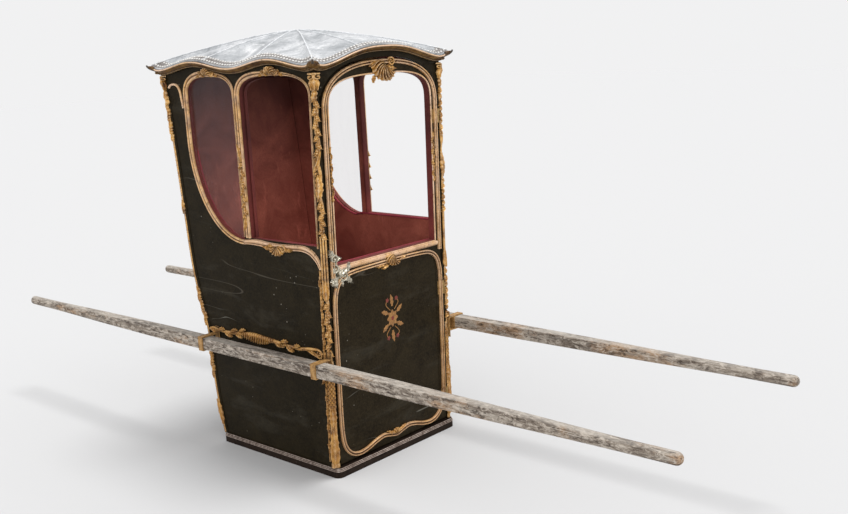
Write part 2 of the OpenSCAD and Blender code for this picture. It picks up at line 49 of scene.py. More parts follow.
MM = 0.001
SLAB_LOW, SLAB_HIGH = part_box("base_plinth")
POST_LOW, POST_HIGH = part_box("front_post_right")
CORNICE_LOW, CORNICE_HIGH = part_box("cornice")
DOME_LOW, DOME_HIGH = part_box("roof_dome")
STRAP_F_LOW, STRAP_F_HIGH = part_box("strap_front_right")
STRAP_R_LOW, STRAP_R_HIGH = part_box("strap_rear_right")
POLE_LOW, POLE_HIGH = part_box("pole_right")
CUSHION_LOW, CUSHION_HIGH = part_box("seat_cushion")
LOCK_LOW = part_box("door_lock")[0]

LEAN = math.radians(1.3)
HALF_W = POST_HIGH.x
WALL_IN, WALL_X = (corner.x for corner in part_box("side_wall_right"))
POST_W = POST_HIGH.x - POST_LOW.x
POST_D = 22 * MM
FOOT_Z = SLAB_HIGH.z
EAVE = POST_HIGH.z - 12 * MM
FRONT_FOOT = POST_HIGH.y - POST_D
REACH = 25 * MM
CORNICE_T = 28 * MM
SIDE_IN = CORNICE_HIGH.x - REACH
FRONT_IN = CORNICE_LOW.y + REACH
REAR_IN = CORNICE_HIGH.y - REACH
FRONT_HUMP = 57 * MM
SIDE_HUMP = 30 * MM
REAR_HUMP = 24 * MM
CORNER_RISE = 16 * MM
CORNER_RUN = 70 * MM
MULLION = (61 * MM, 101 * MM)
MULLION_MID = sum(MULLION) / 2
APEX_Y = 85 * MM
SILL = 912 * MM
CROWN = EAVE - 3 * MM
WINDOW_RISE = 82 * MM
WINDOW_POWER = 2.8
DOOR_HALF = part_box("door_frame")[1].x
DOOR_SPRING = EAVE - 146 * MM
DOOR_TOP = EAVE + 37 * MM
DOOR_WINDOW_HALF = DOOR_HALF - 36 * MM
DOOR_WINDOW_TOP = EAVE - 19 * MM
DOOR_SILL = 832 * MM
POLE_X = (POLE_LOW.x + POLE_HIGH.x) / 2
POLE_Z = (POLE_LOW.z + POLE_HIGH.z) / 2
POLE_SIDE = POLE_HIGH.z - POLE_LOW.z
POLE_CLEAR = 0.5 * MM
STRAP_T = 4 * MM
SIDES = {"left": -1, "right": 1}
STEP = 7 * MM


def rear_rows():
    """The rear's line, as (height, place), from the rear post's outer edge."""
    rows = {}
    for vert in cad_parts["rear_post_right"].data.vertices:
        z = round(vert.co.z, 5)
        rows[z] = max(rows.get(z, -9.0), vert.co.y)
    return sorted(rows.items())


REAR_ROWS = rear_rows()


def rear_y(z):
    """The rear's place at a height."""
    rows = REAR_ROWS
    i = 0
    while i < len(rows) - 2 and z > rows[i + 1][0]:
        i += 1
    (z0, y0), (z1, y1) = rows[i], rows[i + 1]
    return y0 + (y1 - y0) * (z - z0) / (z1 - z0)


def front_y(z):
    """The front's place at a height, since it leans."""
    return FRONT_FOOT - (z - FOOT_Z) * math.tan(LEAN)


# Edges of the side windows: the front one's and the rear one's
STILE = 34 * MM
FRONT_EDGE = front_y(SILL) + STILE
FRONT_MID = (front_y(CROWN) + STILE + MULLION[0]) / 2
FRONT_HALF = MULLION[0] - FRONT_MID
KNEE = EAVE - 246 * MM
REAR_LOW = 903 * MM
REAR_EDGE = rear_y(KNEE) - 136 * MM
REAR_MID = (REAR_EDGE + MULLION[1]) / 2


# Heights of the cornice's lower edge


def swell(u):
    """A hump's share of its height, from 1 in the middle to 0 at its ends."""
    return (1 + math.cos(math.pi * min(abs(u), 1) ** 1.3)) / 2


def wave(y, a, b):
    """A wave's share of its height between a and b."""
    return 0 if y <= a or y >= b else (1 - math.cos(2 * math.pi * (y - a) / (b - a))) / 2


def upturn(d):
    """The rise of a corner at a distance from it."""
    return CORNER_RISE * max(0, 1 - d / CORNER_RUN) ** 2


def front_low(x):
    """The cornice's lower edge over the door."""
    return EAVE + FRONT_HUMP * swell(x / HALF_W) + upturn(CORNICE_HIGH.x - abs(x))


def rear_low(x):
    """The cornice's lower edge over the back."""
    return EAVE + REAR_HUMP * swell(x / HALF_W) + upturn(CORNICE_HIGH.x - abs(x))


def side_low(y):
    """The cornice's lower edge over a side, with its two humps."""
    hump = max(
        wave(y, front_y(EAVE), MULLION_MID), wave(y, MULLION_MID, rear_y(EAVE))
    )
    return EAVE + SIDE_HUMP * hump + upturn(min(y - CORNICE_LOW.y, CORNICE_HIGH.y - y))


# Faces that ornament lies on: u and v run in the face, and w stands out from it


def side_face(side):
    def place(u, v, w):
        return Vector((SIDES[side] * (WALL_X + w), u, v))

    return place


def front_face(u, v, w):
    along = v - FOOT_Z
    return Vector(
        (
            u,
            FRONT_FOOT - along * math.sin(LEAN) - w * math.cos(LEAN),
            FOOT_Z + along * math.cos(LEAN) - w * math.sin(LEAN),
        )
    )


def back_face(u, v, w):
    return Vector((u, rear_y(v) - 2 * MM + w, v))


def column(side, radius, x, y, start):
    """Wraps ornament round a corner: u runs round the column from its line at start."""

    def place(u, v, w):
        turn = math.radians(start) + u / radius
        r = radius + w
        return Vector((SIDES[side] * (x + r * math.cos(turn)), y(v) + r * math.sin(turn), v))

    return place


# Mesh building


class Build:
    """Gathers vertices and faces for one joined piece."""

    def __init__(self):
        self.verts = []
        self.faces = []

    def add(self, verts, faces):
        base = len(self.verts)
        self.verts.extend(verts)
        self.faces.extend([base + i for i in f] for f in faces)

    def grid(self, rows, round_rows=False, round_cols=False, caps=False):
        n, m = len(rows), len(rows[0])
        faces = []
        for i in range(n if round_rows else n - 1):
            for j in range(m if round_cols else m - 1):
                a, b = i * m, ((i + 1) % n) * m
                k = (j + 1) % m
                faces.append((a + j, b + j, b + k, a + k))
        if caps:
            faces.append(tuple(range(m - 1, -1, -1)))
            faces.append(tuple((n - 1) * m + j for j in range(m)))
        self.add([p for row in rows for p in row], faces)


def linked(name, data):
    obj = bpy.data.objects.new(name, data)
    bpy.context.scene.collection.objects.link(obj)
    return obj


def piece(name, build, material, body, sharp=40):
    """One object from a build, with its material, riding a body."""
    mesh = bpy.data.meshes.new(name)
    mesh.from_pydata([tuple(v) for v in build.verts], [], build.faces)
    bm = bmesh.new()
    bm.from_mesh(mesh)
    bmesh.ops.remove_doubles(bm, verts=bm.verts, dist=1e-6)
    bmesh.ops.recalc_face_normals(bm, faces=bm.faces)
    bm.to_mesh(mesh)
    bm.free()
    mesh.shade_smooth()
    mesh.set_sharp_from_angle(angle=math.radians(sharp))
    mesh.materials.append(material)
    obj = linked(name, mesh)
    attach(obj, body)
    return obj


# Lines in a face


def between(a, b, c, d, t):
    """A Catmull-Rom value at a share t of the way from b to c."""
    bend = (2 * a - 5 * b + 4 * c - d) * t * t + (3 * b - a - 3 * c + d) * t**3
    return 0.5 * (2 * b + (c - a) * t + bend)


def catmull(points, per=8, closed=False):
    """A smooth line through the points."""
    n = len(points)
    out = []
    for i in range(n if closed else n - 1):
        near = [i + k for k in (-1, 0, 1, 2)]
        p = [points[k % n if closed else min(max(k, 0), n - 1)] for k in near]
        for j in range(per):
            out.append(tuple(between(*axis, j / per) for axis in zip(*p)))
    if not closed:
        out.append(tuple(points[-1]))
    return out


def spaced(points, step, closed=False):
    """The line cut into even lengths of about step."""
    pts = [Vector(p) for p in points]
    if closed:
        pts.append(pts[0])
    sums = [0.0]
    for a, b in zip(pts, pts[1:]):
        sums.append(sums[-1] + (b - a).length)
    n = max(2, round(sums[-1] / step))
    out, i = [], 0
    for k in range(n if closed else n + 1):
        d = sums[-1] * k / n
        while i < len(pts) - 2 and sums[i + 1] < d:
            i += 1
        span = sums[i + 1] - sums[i]
        out.append(tuple(pts[i].lerp(pts[i + 1], (d - sums[i]) / span if span else 0)))
    return out


def mitres(points, closed=False):
    """Each point of a line, with its way across: to its left, mitred at a corner."""
    n = len(points)
    for i in range(n):
        p = Vector(points[i])
        a = Vector(points[(i - 1) % n]) if closed or i > 0 else None
        b = Vector(points[(i + 1) % n]) if closed or i < n - 1 else None
        t1 = (p - a).normalized() if a is not None else (b - p).normalized()
        t2 = (b - p).normalized() if b is not None else t1
        n1, n2 = Vector((-t1.y, t1.x)), Vector((-t2.y, t2.x))
        yield p, (n1 + n2) / max(0.5, 1 + n1.dot(n2))


def offset(points, d):
    """The line moved d to its left."""
    return [tuple(p + across * d) for p, across in mitres(points)]


def arch(mid, half, spring, crown, power, steps=36):
    """An arched head from its right end to its left."""
    out = []
    for i in range(steps * 2 + 1):
        a = math.pi / 2 * i / steps
        c, s = math.cos(a), abs(math.sin(a))
        x = math.copysign(abs(c) ** (2 / power), c)
        out.append((mid + half * x, spring + (crown - spring) * s ** (2 / power)))
    return out


def mirrored(right):
    """A closed line from its right half, whose ends are on the middle."""
    return catmull(right + [(-u, v) for u, v in reversed(right[1:-1])], 8, True)


# Sections across a moulding: share of its width, share of its height

REEDED = (
    (-0.5, 0), (-0.5, 0.3), (-0.47, 0.55), (-0.4, 0.86), (-0.3, 1), (-0.2, 0.9),
    (-0.13, 0.62), (-0.1, 0.42), (0, 0.34), (0.1, 0.42), (0.13, 0.66), (0.2, 0.92),
    (0.3, 1), (0.4, 0.86), (0.47, 0.55), (0.5, 0.3), (0.5, 0),
)
STEPPED = (
    (-0.5, 0), (-0.5, 0.5), (-0.45, 0.72), (-0.38, 0.78), (-0.31, 0.6), (-0.28, 0.34),
    (-0.2, 0.4), (-0.05, 0.62), (0.06, 0.9), (0.2, 1), (0.33, 0.92), (0.4, 0.66),
    (0.42, 0.4), (0.46, 0.44), (0.5, 0.3), (0.5, 0),
)
BAND = (
    (-0.5, 0), (-0.5, 0.55), (-0.42, 0.85), (-0.3, 0.98), (0, 1), (0.2, 0.96), (0.28, 0.8),
    (0.3, 0.45), (0.34, 0.45), (0.37, 0.7), (0.43, 0.78), (0.49, 0.5), (0.5, 0),
)
BAR = ((-0.5, 0), (-0.5, 0.85), (-0.35, 1), (0.35, 1), (0.5, 0.85), (0.5, 0))
ROUND = (
    (-0.5, 0), (-0.48, 0.35), (-0.38, 0.75), (-0.2, 0.97), (0, 1), (0.2, 0.97),
    (0.38, 0.75), (0.48, 0.35), (0.5, 0),
)


def sweep(build, place, path, section, width, height, closed=False, base=0.0, grow=None):
    """A moulding along a line in a face. grow(share) scales its width and height."""
    rows = []
    for i, (p, across) in enumerate(mitres(path, closed)):
        scale = grow(i / (len(path) - 1)) if grow else 1
        if not isinstance(scale, tuple):
            scale = (scale, scale)
        row = []
        for s, h in section:
            q = p + across * s * width * scale[0]
            row.append(place(q.x, q.y, base + h * height * scale[1]))
        rows.append(row)
    build.grid(rows, round_rows=closed, caps=not closed)


# Carved motifs, which point up, down or at an angle in their face

UP, DOWN = math.pi / 2, -math.pi / 2


def leaf(build, place, at, angle, length, width, height, bend=0.0, lobes=3, base=0.0):
    """A carved leaf that points at an angle in the face and curls up at its tip."""
    n, m = 14, 10
    u, v = at
    rows = []
    for i in range(n + 1):
        s = i / n
        body = math.sin(math.pi * min(1, 0.1 + 0.9 * s)) ** 0.7 if s < 1 else 0.03
        half = width / 2 * body * (1 + 0.2 * math.cos(2 * math.pi * lobes * s + 0.6))
        row = []
        for j in range(m + 1):
            t = 2 * j / m - 1
            ridge = 1 - abs(t) ** 1.8
            vein = 0.22 * math.cos(3 * math.pi * t) + 0.1 * math.cos(2 * math.pi * lobes * s)
            rise = (0.35 + 0.5 * math.sin(math.pi * s) + 0.4 * s * s + vein) * ridge
            x = u - math.sin(angle) * t * half
            y = v + math.cos(angle) * t * half
            row.append(place(x, y, base + height * max(0.0, rise)))
        rows.append(row)
        u += math.cos(angle) * length / n
        v += math.sin(angle) * length / n
        angle += bend / n
    build.grid(rows)


def leaves(build, place, rows):
    """Leaves from rows of u, v, angle, length, width, height, bend and base."""
    for u, v, angle, length, width, height, bend, base in rows:
        leaf(build, place, (u, v), angle, length, width, height * MM, bend, base=base * MM)


def scroll(build, place, at, angle, radius, turns, width, height, way=1, base=0.0):
    """A volute that winds in to its eye. angle is where its outer end lies."""
    path = []
    n = int(26 * turns)
    for i in range(n + 1):
        s = i / n
        r = radius * (1 - 0.82 * s)
        a = angle + way * 2 * math.pi * turns * s
        path.append((at[0] + r * math.cos(a), at[1] + r * math.sin(a)))
    sweep(
        build, place, path, ROUND, width, height, base=base,
        grow=lambda s: (1 - 0.5 * s) * min(1, 0.35 + 4 * s),
    )
    boss(build, place, at, radius * 0.3, height * 1.15, base=base)


def curl(build, place, at, angle, size, way, height, base=0.0):
    """A leaf that curls over on itself, with a small bud in its curl."""
    leaf(build, place, at, angle, size, size * 0.52, height, way * 1.9, 4, base)
    bud = (
        at[0] + size * (0.42 * math.cos(angle) - 0.3 * way * math.sin(angle)),
        at[1] + size * (0.42 * math.sin(angle) + 0.3 * way * math.cos(angle)),
    )
    boss(build, place, bud, size * 0.1, height * 0.9, base=base)


def boss(build, place, at, radius, height, petals=0, base=0.0, tall=1.0):
    """A round boss, or a flower if it has petals."""
    n, m = 8, max(18, petals * 6)
    rows = []
    for i in range(n + 1):
        s = i / n
        row = []
        for j in range(m):
            a = 2 * math.pi * j / m
            lobe = math.cos(petals * a) if petals else 0
            r = radius * s * (1 + 0.16 * lobe * s)
            if petals:
                cup = 0.45 + 0.55 * math.sin(math.pi * min(1, s * 1.05)) ** 0.8
                h = height * cup * (0.72 + 0.28 * lobe) if s > 0.25 else height * (1.05 - s)
                h = h if s < 1 else 0
            else:
                h = height * math.sqrt(max(0, 1 - s * s))
            row.append(
                place(at[0] + r * math.cos(a), at[1] + tall * r * math.sin(a), base + h)
            )
        rows.append(row)
    build.grid(rows, round_cols=True)


def shell(build, place, at, angle, radius, spread, ribs, height, base=0.0, tall=1.0, twist=0.0):
    """A scallop shell that opens out at an angle from its hinge. twist bends its ribs."""
    n, m = 12, ribs * 6
    rows = []
    for i in range(n + 1):
        s = i / n
        row = []
        for j in range(m + 1):
            t = j / m
            rib = (1 - math.cos(2 * math.pi * ribs * t)) / 2
            edge = min(1, 6 * t, 6 * (1 - t)) ** 0.5
            r = radius * (0.12 + 0.88 * s) * (0.93 + 0.07 * rib * s + 0.06 * math.sin(math.pi * t))
            a = angle + spread * (t - 0.5) + twist * s * s
            rise = (0.45 + 0.6 * math.sin(math.pi * (0.1 + 0.8 * s)) + 0.25 * s) * edge
            h = height * rise * (0.6 + 0.4 * rib) if s < 1 else 0
            row.append(
                place(at[0] + r * math.cos(a), at[1] + tall * r * math.sin(a), base + h)
            )
        rows.append(row)
    build.grid(rows)


def beads(build, place, path, radius, height, base=0.0):
    """A row of small round beads along a line."""
    for p in path:
        n, m = 3, 8
        rows = []
        for i in range(n + 1):
            s = math.pi / 2 * i / n
            r, w = radius * math.sin(s), base + height * math.cos(s)
            around = [2 * math.pi * j / m for j in range(m)]
            rows.append([place(p[0] + r * math.cos(a), p[1] + r * math.sin(a), w) for a in around])
        build.grid(rows, round_cols=True)


# Materials

PALE = (0.88, 0.88, 0.885, 1)


def new_material(name, rough=0.5, metal=0.0):
    mat = bpy.data.materials.new(name)
    mat.use_nodes = True
    bsdf = mat.node_tree.nodes["Principled BSDF"]
    bsdf.inputs["Roughness"].default_value = rough
    bsdf.inputs["Metallic"].default_value = metal
    return mat, mat.node_tree, bsdf


def coords(tree, scale=(1, 1, 1), turn=(0, 0, 0)):
    where = tree.nodes.new("ShaderNodeTexCoord")
    mapping = tree.nodes.new("ShaderNodeMapping")
    mapping.inputs["Scale"].default_value = scale
    mapping.inputs["Rotation"].default_value = turn
    tree.links.new(where.outputs["Object"], mapping.inputs["Vector"])
    return mapping.outputs["Vector"]


def noise(tree, vector, scale, detail=5.0, rough=0.55, warp=0.0):
    node = tree.nodes.new("ShaderNodeTexNoise")
    node.inputs["Scale"].default_value = scale
    node.inputs["Detail"].default_value = detail
    node.inputs["Roughness"].default_value = rough
    node.inputs["Distortion"].default_value = warp
    tree.links.new(vector, node.inputs["Vector"])
    return node.outputs["Fac"]


def cells(tree, vector, scale):
    node = tree.nodes.new("ShaderNodeTexVoronoi")
    node.inputs["Scale"].default_value = scale
    tree.links.new(vector, node.inputs["Vector"])
    return node.outputs["Distance"]


def ramp(tree, value, *stops):
    """Colours, or greys, at stops along a value."""
    node = tree.nodes.new("ShaderNodeValToRGB")
    band = node.color_ramp
    while len(band.elements) < len(stops):
        band.elements.new(0.5)
    for element, (place, colour) in zip(band.elements, stops):
        element.position = place
        if isinstance(colour, (int, float)):
            colour = (colour,) * 3
        element.color = (*colour[:3], 1)
    tree.links.new(value, node.inputs["Fac"])
    return node.outputs["Color"]


def mixed(tree, share, first, second, kind="MIX"):
    """first and second are sockets or colours; share is a socket or a number."""
    node = tree.nodes.new("ShaderNodeMix")
    node.data_type = "RGBA"
    node.blend_type = kind
    for key, value in ((0, share), (6, first), (7, second)):
        if isinstance(value, bpy.types.NodeSocket):
            tree.links.new(value, node.inputs[key])
        elif key == 0:
            node.inputs[key].default_value = value
        else:
            node.inputs[key].default_value = (*value[:3], 1)
    return node.outputs[2]


def over(tree, base, value, low, high, colour):
    """The base with a colour laid over it, by how a value runs between two stops."""
    return mixed(tree, ramp(tree, value, low, high), base, colour)


def bumped(tree, bsdf, height, strength, distance, under=None):
    node = tree.nodes.new("ShaderNodeBump")
    node.inputs["Strength"].default_value = strength
    node.inputs["Distance"].default_value = distance
    tree.links.new(height, node.inputs["Height"])
    if under is not None:
        tree.links.new(under, node.inputs["Normal"])
    tree.links.new(node.outputs["Normal"], bsdf.inputs["Normal"])
    return node.outputs["Normal"]


def rounded(tree, radius):
    """The normal with its edges softened, for the flat-sided pieces."""
    node = tree.nodes.new("ShaderNodeBevel")
    node.samples = 4
    node.inputs["Radius"].default_value = radius
    return node.outputs["Normal"]


def pointed(tree):
    return tree.nodes.new("ShaderNodeNewGeometry").outputs["Pointiness"]


def crevices(tree, reach):
    """White in the open, and dark where carving closes in."""
    node = tree.nodes.new("ShaderNodeAmbientOcclusion")
    node.samples = 6
    node.inputs["Distance"].default_value = reach
    return node.outputs["AO"]


def gilt(name="gilt", pale=0.0, depth=1.0, shade_lift=0.0):
    """Old water gilding. pale is how much shows its pink ground and its painted highlights, depth
    scales its tones, and the last argument lifts the painted shade in its hollows.
    """
    mat, tree, bsdf = new_material(name, 0.42, 0.18)
    at = coords(tree)
    patch = noise(tree, at, 26, 7, 0.62, 0.4)
    fine = noise(tree, at, 190, 6, 0.7)
    gold = ramp(tree, patch, *(
        (place, tuple(c * depth for c in tone)) for place, tone in (
            (0.32, (0.13, 0.045, 0.006)), (0.45, (0.4, 0.175, 0.028)),
            (0.57, (0.66, 0.34, 0.07)), (0.72, (0.9, 0.56, 0.2)),
        )
    ))
    # rubbed edges and painted highlight: pale pink on the sharp convex edges
    rubbed_and_highlit = ramp(tree, pointed(tree), (0.51, 0), (0.57, 1))
    rubbed_and_highlit = mixed(tree, 1.0, rubbed_and_highlit, ramp(tree, fine, (0.4, 0.05), (0.62, 0.85)), "MULTIPLY")
    pink = mixed(tree, rubbed_and_highlit, gold, (0.95 * depth, 0.72 * depth, 0.45 * depth))
    if pale:
        # pale patches, partly gilt worn to its ground and partly painted highlight
        ground_and_highlight = ramp(tree, noise(tree, at, 9, 6, 0.6), (0.38, pale * 0.35), (0.6, pale))
        pink = mixed(tree, ground_and_highlight, pink, (0.88, 0.62, 0.44))
    foot = ramp(tree, higher(tree, 0.1, 1.1), (0.0, 0.42), (1.0, 0.0))
    pink = mixed(tree, foot, pink, (0.3, 0.13, 0.03))
    # dirt and painted shade: the concave hollows of the carving turn near black
    dirt_and_shade = ramp(tree, pointed(tree), (0.435, 1), (0.495, 0))
    aged = mixed(tree, dirt_and_shade, pink, (0.04, 0.014, 0.003))
    # painted shade where the carving closes in, from an occlusion mask
    hollow_shade = ramp(tree, crevices(tree, 12 * MM), (0.3, 0.96 - shade_lift), (0.8 - shade_lift, 0))
    aged = mixed(tree, hollow_shade, aged, (0.035, 0.013, 0.003))
    spots = ramp(tree, noise(tree, at, 80, 8, 0.7), (0.56, 0), (0.66, 0.8))
    aged = mixed(tree, spots, aged, (0.1, 0.042, 0.014))
    tree.links.new(aged, bsdf.inputs["Base Color"])
    tree.links.new(ramp(tree, fine, (0.3, 0.3), (0.7, 0.56)), bsdf.inputs["Roughness"])
    bsdf.inputs["Specular IOR Level"].default_value = 0.3
    bumped(tree, bsdf, fine, 0.3, 0.0008)
    return mat


def scratched(tree, at, scale, mask_scale, width=0.006):
    """Thin wandering lines, only here and there."""
    lines = ramp(
        tree, noise(tree, at, scale, 2, 0.4, 0.2),
        (0.5 - width, 0), (0.5, 1), (0.5 + width, 0),
    )
    where = ramp(tree, noise(tree, at, mask_scale, 3), (0.56, 0), (0.62, 1))
    return mixed(tree, 1.0, lines, where, "MULTIPLY")


def dark_paint(name, low, high):
    """Old dark paint, with dusty smears, specks, scratches and chips."""
    mat, tree, bsdf = new_material(name, 0.5)
    at = coords(tree)
    patch = noise(tree, at, 9, 9, 0.68, 0.5)
    grain = noise(tree, at, 120, 8, 0.75)
    base = ramp(tree, patch, (0.36, low), (0.66, high))
    base = over(tree, base, grain, (0.4, 0), (0.68, 0.6), tuple(c * 2 + 0.003 for c in high))
    smear = noise(tree, coords(tree, (0.5, 0.5, 1.7), (0.3, 0.1, 0)), 6, 7, 0.66, 0.4)
    base = over(tree, base, smear, (0.52, 0), (0.7, 0.32), (0.07, 0.063, 0.048))
    fleck = noise(tree, at, 260, 3, 0.6)
    base = over(tree, base, fleck, (0.67, 0), (0.72, 0.5), (0.1, 0.09, 0.065))
    lines = scratched(tree, coords(tree, (0.4, 0.4, 2.6), (0.5, 0.1, 0.2)), 3.2, 2.3, 0.0035)
    base = mixed(tree, lines, base, (0.2, 0.19, 0.16))
    long_lines = scratched(tree, coords(tree, (1, 0.25, 3.5), (-0.35, 0, 0)), 2.2, 1.4, 0.0025)
    base = mixed(tree, long_lines, base, (0.07, 0.06, 0.045))
    chip = ramp(tree, cells(tree, at, 34), (0.07, 1), (0.1, 0))
    where = ramp(tree, noise(tree, at, 5, 4), (0.55, 0), (0.63, 0.75))
    chip = mixed(tree, 1.0, chip, where, "MULTIPLY")
    base = mixed(tree, chip, base, (0.33, 0.3, 0.25))
    tree.links.new(base, bsdf.inputs["Base Color"])
    tree.links.new(ramp(tree, grain, (0.3, 0.34), (0.7, 0.62)), bsdf.inputs["Roughness"])
    bsdf.inputs["Specular IOR Level"].default_value = 0.06
    bumped(tree, bsdf, grain, 0.35, 0.0007, rounded(tree, 1.2 * MM))
    return mat


def roof_leather():
    """Leather that has weathered to pale grey."""
    mat, tree, bsdf = new_material("roof_leather", 0.5)
    at = coords(tree)
    cloud = noise(tree, at, 6, 9, 0.66, 0.8)
    fine = noise(tree, at, 85, 8, 0.7)
    base = ramp(
        tree, cloud, (0.3, (0.15, 0.16, 0.17)), (0.44, (0.34, 0.355, 0.37)),
        (0.58, (0.54, 0.55, 0.565)), (0.72, (0.8, 0.8, 0.8)),
    )
    streak = noise(tree, coords(tree, (1, 1, 6)), 17, 7, 0.7, 1.2)
    base = over(tree, base, streak, (0.53, 0), (0.68, 0.6), (0.82, 0.82, 0.82))
    base = over(tree, base, fine, (0.53, 0), (0.68, 0.65), (0.14, 0.15, 0.16))
    tree.links.new(base, bsdf.inputs["Base Color"])
    tree.links.new(ramp(tree, cloud, (0.3, 0.36), (0.7, 0.6)), bsdf.inputs["Roughness"])
    bumped(tree, bsdf, mixed(tree, 0.4, fine, cloud), 0.5, 0.0022)
    return mat


def pole_wood():
    """Worn grey wood, flaking along its grain, with painted light on its top."""
    mat, tree, bsdf = new_material("pole_wood", 0.75)
    fibre = noise(tree, coords(tree, (1, 0.03, 1)), 210, 7, 0.7, 0.3)
    board = noise(tree, coords(tree, (1, 0.14, 1)), 26, 6, 0.65, 0.6)
    base = ramp(
        tree, board, (0.34, (0.06, 0.043, 0.031)), (0.5, (0.22, 0.175, 0.135)),
        (0.68, (0.44, 0.385, 0.32)),
    )
    base = over(tree, base, fibre, (0.5, 0), (0.7, 0.85), (0.66, 0.6, 0.52))
    base = over(tree, base, fibre, (0.28, 0.8), (0.42, 0), (0.022, 0.015, 0.011))
    tan = noise(tree, coords(tree, (1, 0.35, 1)), 9, 6, 0.7)
    base = over(tree, base, tan, (0.52, 0), (0.64, 0.8), (0.42, 0.25, 0.13))
    flake = noise(tree, coords(tree, (1, 0.4, 1)), 75, 9, 0.75, 0.8)
    base = over(tree, base, flake, (0.52, 0), (0.6, 0.8), (0.6, 0.53, 0.45))
    base = over(tree, base, flake, (0.4, 0.9), (0.48, 0), (0.045, 0.028, 0.018))
    up = tree.nodes.new("ShaderNodeSeparateXYZ")
    facing = tree.nodes.new("ShaderNodeNewGeometry")
    tree.links.new(facing.outputs["Normal"], up.inputs["Vector"])
    # painted light: the faces that look up are paler
    top_light = ramp(tree, up.outputs["Z"], (0.45, 0), (0.9, 0.6))
    top_light = mixed(tree, 1.0, top_light, ramp(tree, board, (0.36, 0.25), (0.6, 1)), "MULTIPLY")
    base = mixed(tree, top_light, base, (0.4, 0.37, 0.33))
    tree.links.new(base, bsdf.inputs["Base Color"])
    bumped(tree, bsdf, mixed(tree, 0.45, fibre, board), 0.7, 0.0022)
    return mat


def plain_wood(name, low, high):
    mat, tree, bsdf = new_material(name, 0.6)
    fibre = noise(tree, coords(tree, (0.06, 1, 1)), 120, 7, 0.7, 0.4)
    patch = noise(tree, coords(tree), 11, 7, 0.65, 0.5)
    base = mixed(tree, 0.5, ramp(tree, fibre, (0.35, low), (0.65, high)),
                 ramp(tree, patch, (0.38, low), (0.66, high)))
    marks = ramp(tree, noise(tree, coords(tree), 60, 8, 0.75), (0.62, 0), (0.7, 0.6))
    base = mixed(tree, marks, base, tuple(min(1, c * 2.4 + 0.05) for c in high))
    tree.links.new(base, bsdf.inputs["Base Color"])
    bsdf.inputs["Specular IOR Level"].default_value = 0.1
    bumped(tree, bsdf, fibre, 0.45, 0.001, rounded(tree, 1.5 * MM))
    return mat


def worn_line():
    """The slab's pale, rubbed ledges."""
    mat, tree, bsdf = new_material("worn_ledge", 0.7)
    at = coords(tree)
    rub = noise(tree, at, 55, 8, 0.75, 0.6)
    base = ramp(
        tree, rub, (0.36, (0.13, 0.08, 0.06)), (0.5, (0.34, 0.265, 0.22)),
        (0.64, (0.6, 0.5, 0.44)),
    )
    tree.links.new(base, bsdf.inputs["Base Color"])
    bumped(tree, bsdf, rub, 0.5, 0.001)
    return mat


def higher(tree, low, high):
    """0 at one height, 1 at the other."""
    parts = tree.nodes.new("ShaderNodeSeparateXYZ")
    tree.links.new(coords(tree), parts.inputs["Vector"])
    span = tree.nodes.new("ShaderNodeMapRange")
    span.inputs["From Min"].default_value = low
    span.inputs["From Max"].default_value = high
    tree.links.new(parts.outputs["Z"], span.inputs["Value"])
    return span.outputs["Result"]


def red_cloth(name, low, high, sheen, top_shade=0.0):
    """Faded red cloth, rubbed in places. A painted shade darkens it towards the windows' heads."""
    mat, tree, bsdf = new_material(name, 0.85)
    at = coords(tree)
    cloud = noise(tree, at, 6, 8, 0.62, 0.7)
    nap = noise(tree, coords(tree, (1, 1, 0.25)), 420, 4, 0.7)
    base = ramp(tree, cloud, (0.34, low), (0.68, high))
    base = mixed(tree, ramp(tree, nap, (0.35, 0.45), (0.6, 0)), base, tuple(c * 0.5 for c in low))
    rubbed = ramp(tree, noise(tree, coords(tree, (1, 1, 0.3)), 14, 6, 0.7), (0.6, 0), (0.72, 0.5))
    base = mixed(tree, rubbed, base, tuple(min(1, c * 1.5 + 0.025) for c in high))
    if top_shade:
        # painted shade: the cloth darkens towards the top of the cabin
        top_shade_mask = ramp(tree, higher(tree, SILL, CROWN), (0.0, 0), (0.45, top_shade * 0.45), (1.0, top_shade))
        base = mixed(tree, top_shade_mask, base, (0.012, 0.002, 0.001))
    tree.links.new(base, bsdf.inputs["Base Color"])
    bsdf.inputs["Sheen Weight"].default_value = sheen
    bsdf.inputs["Sheen Tint"].default_value = (0.75, 0.3, 0.26, 1)
    bumped(tree, bsdf, nap, 0.4, 0.0012)
    return mat


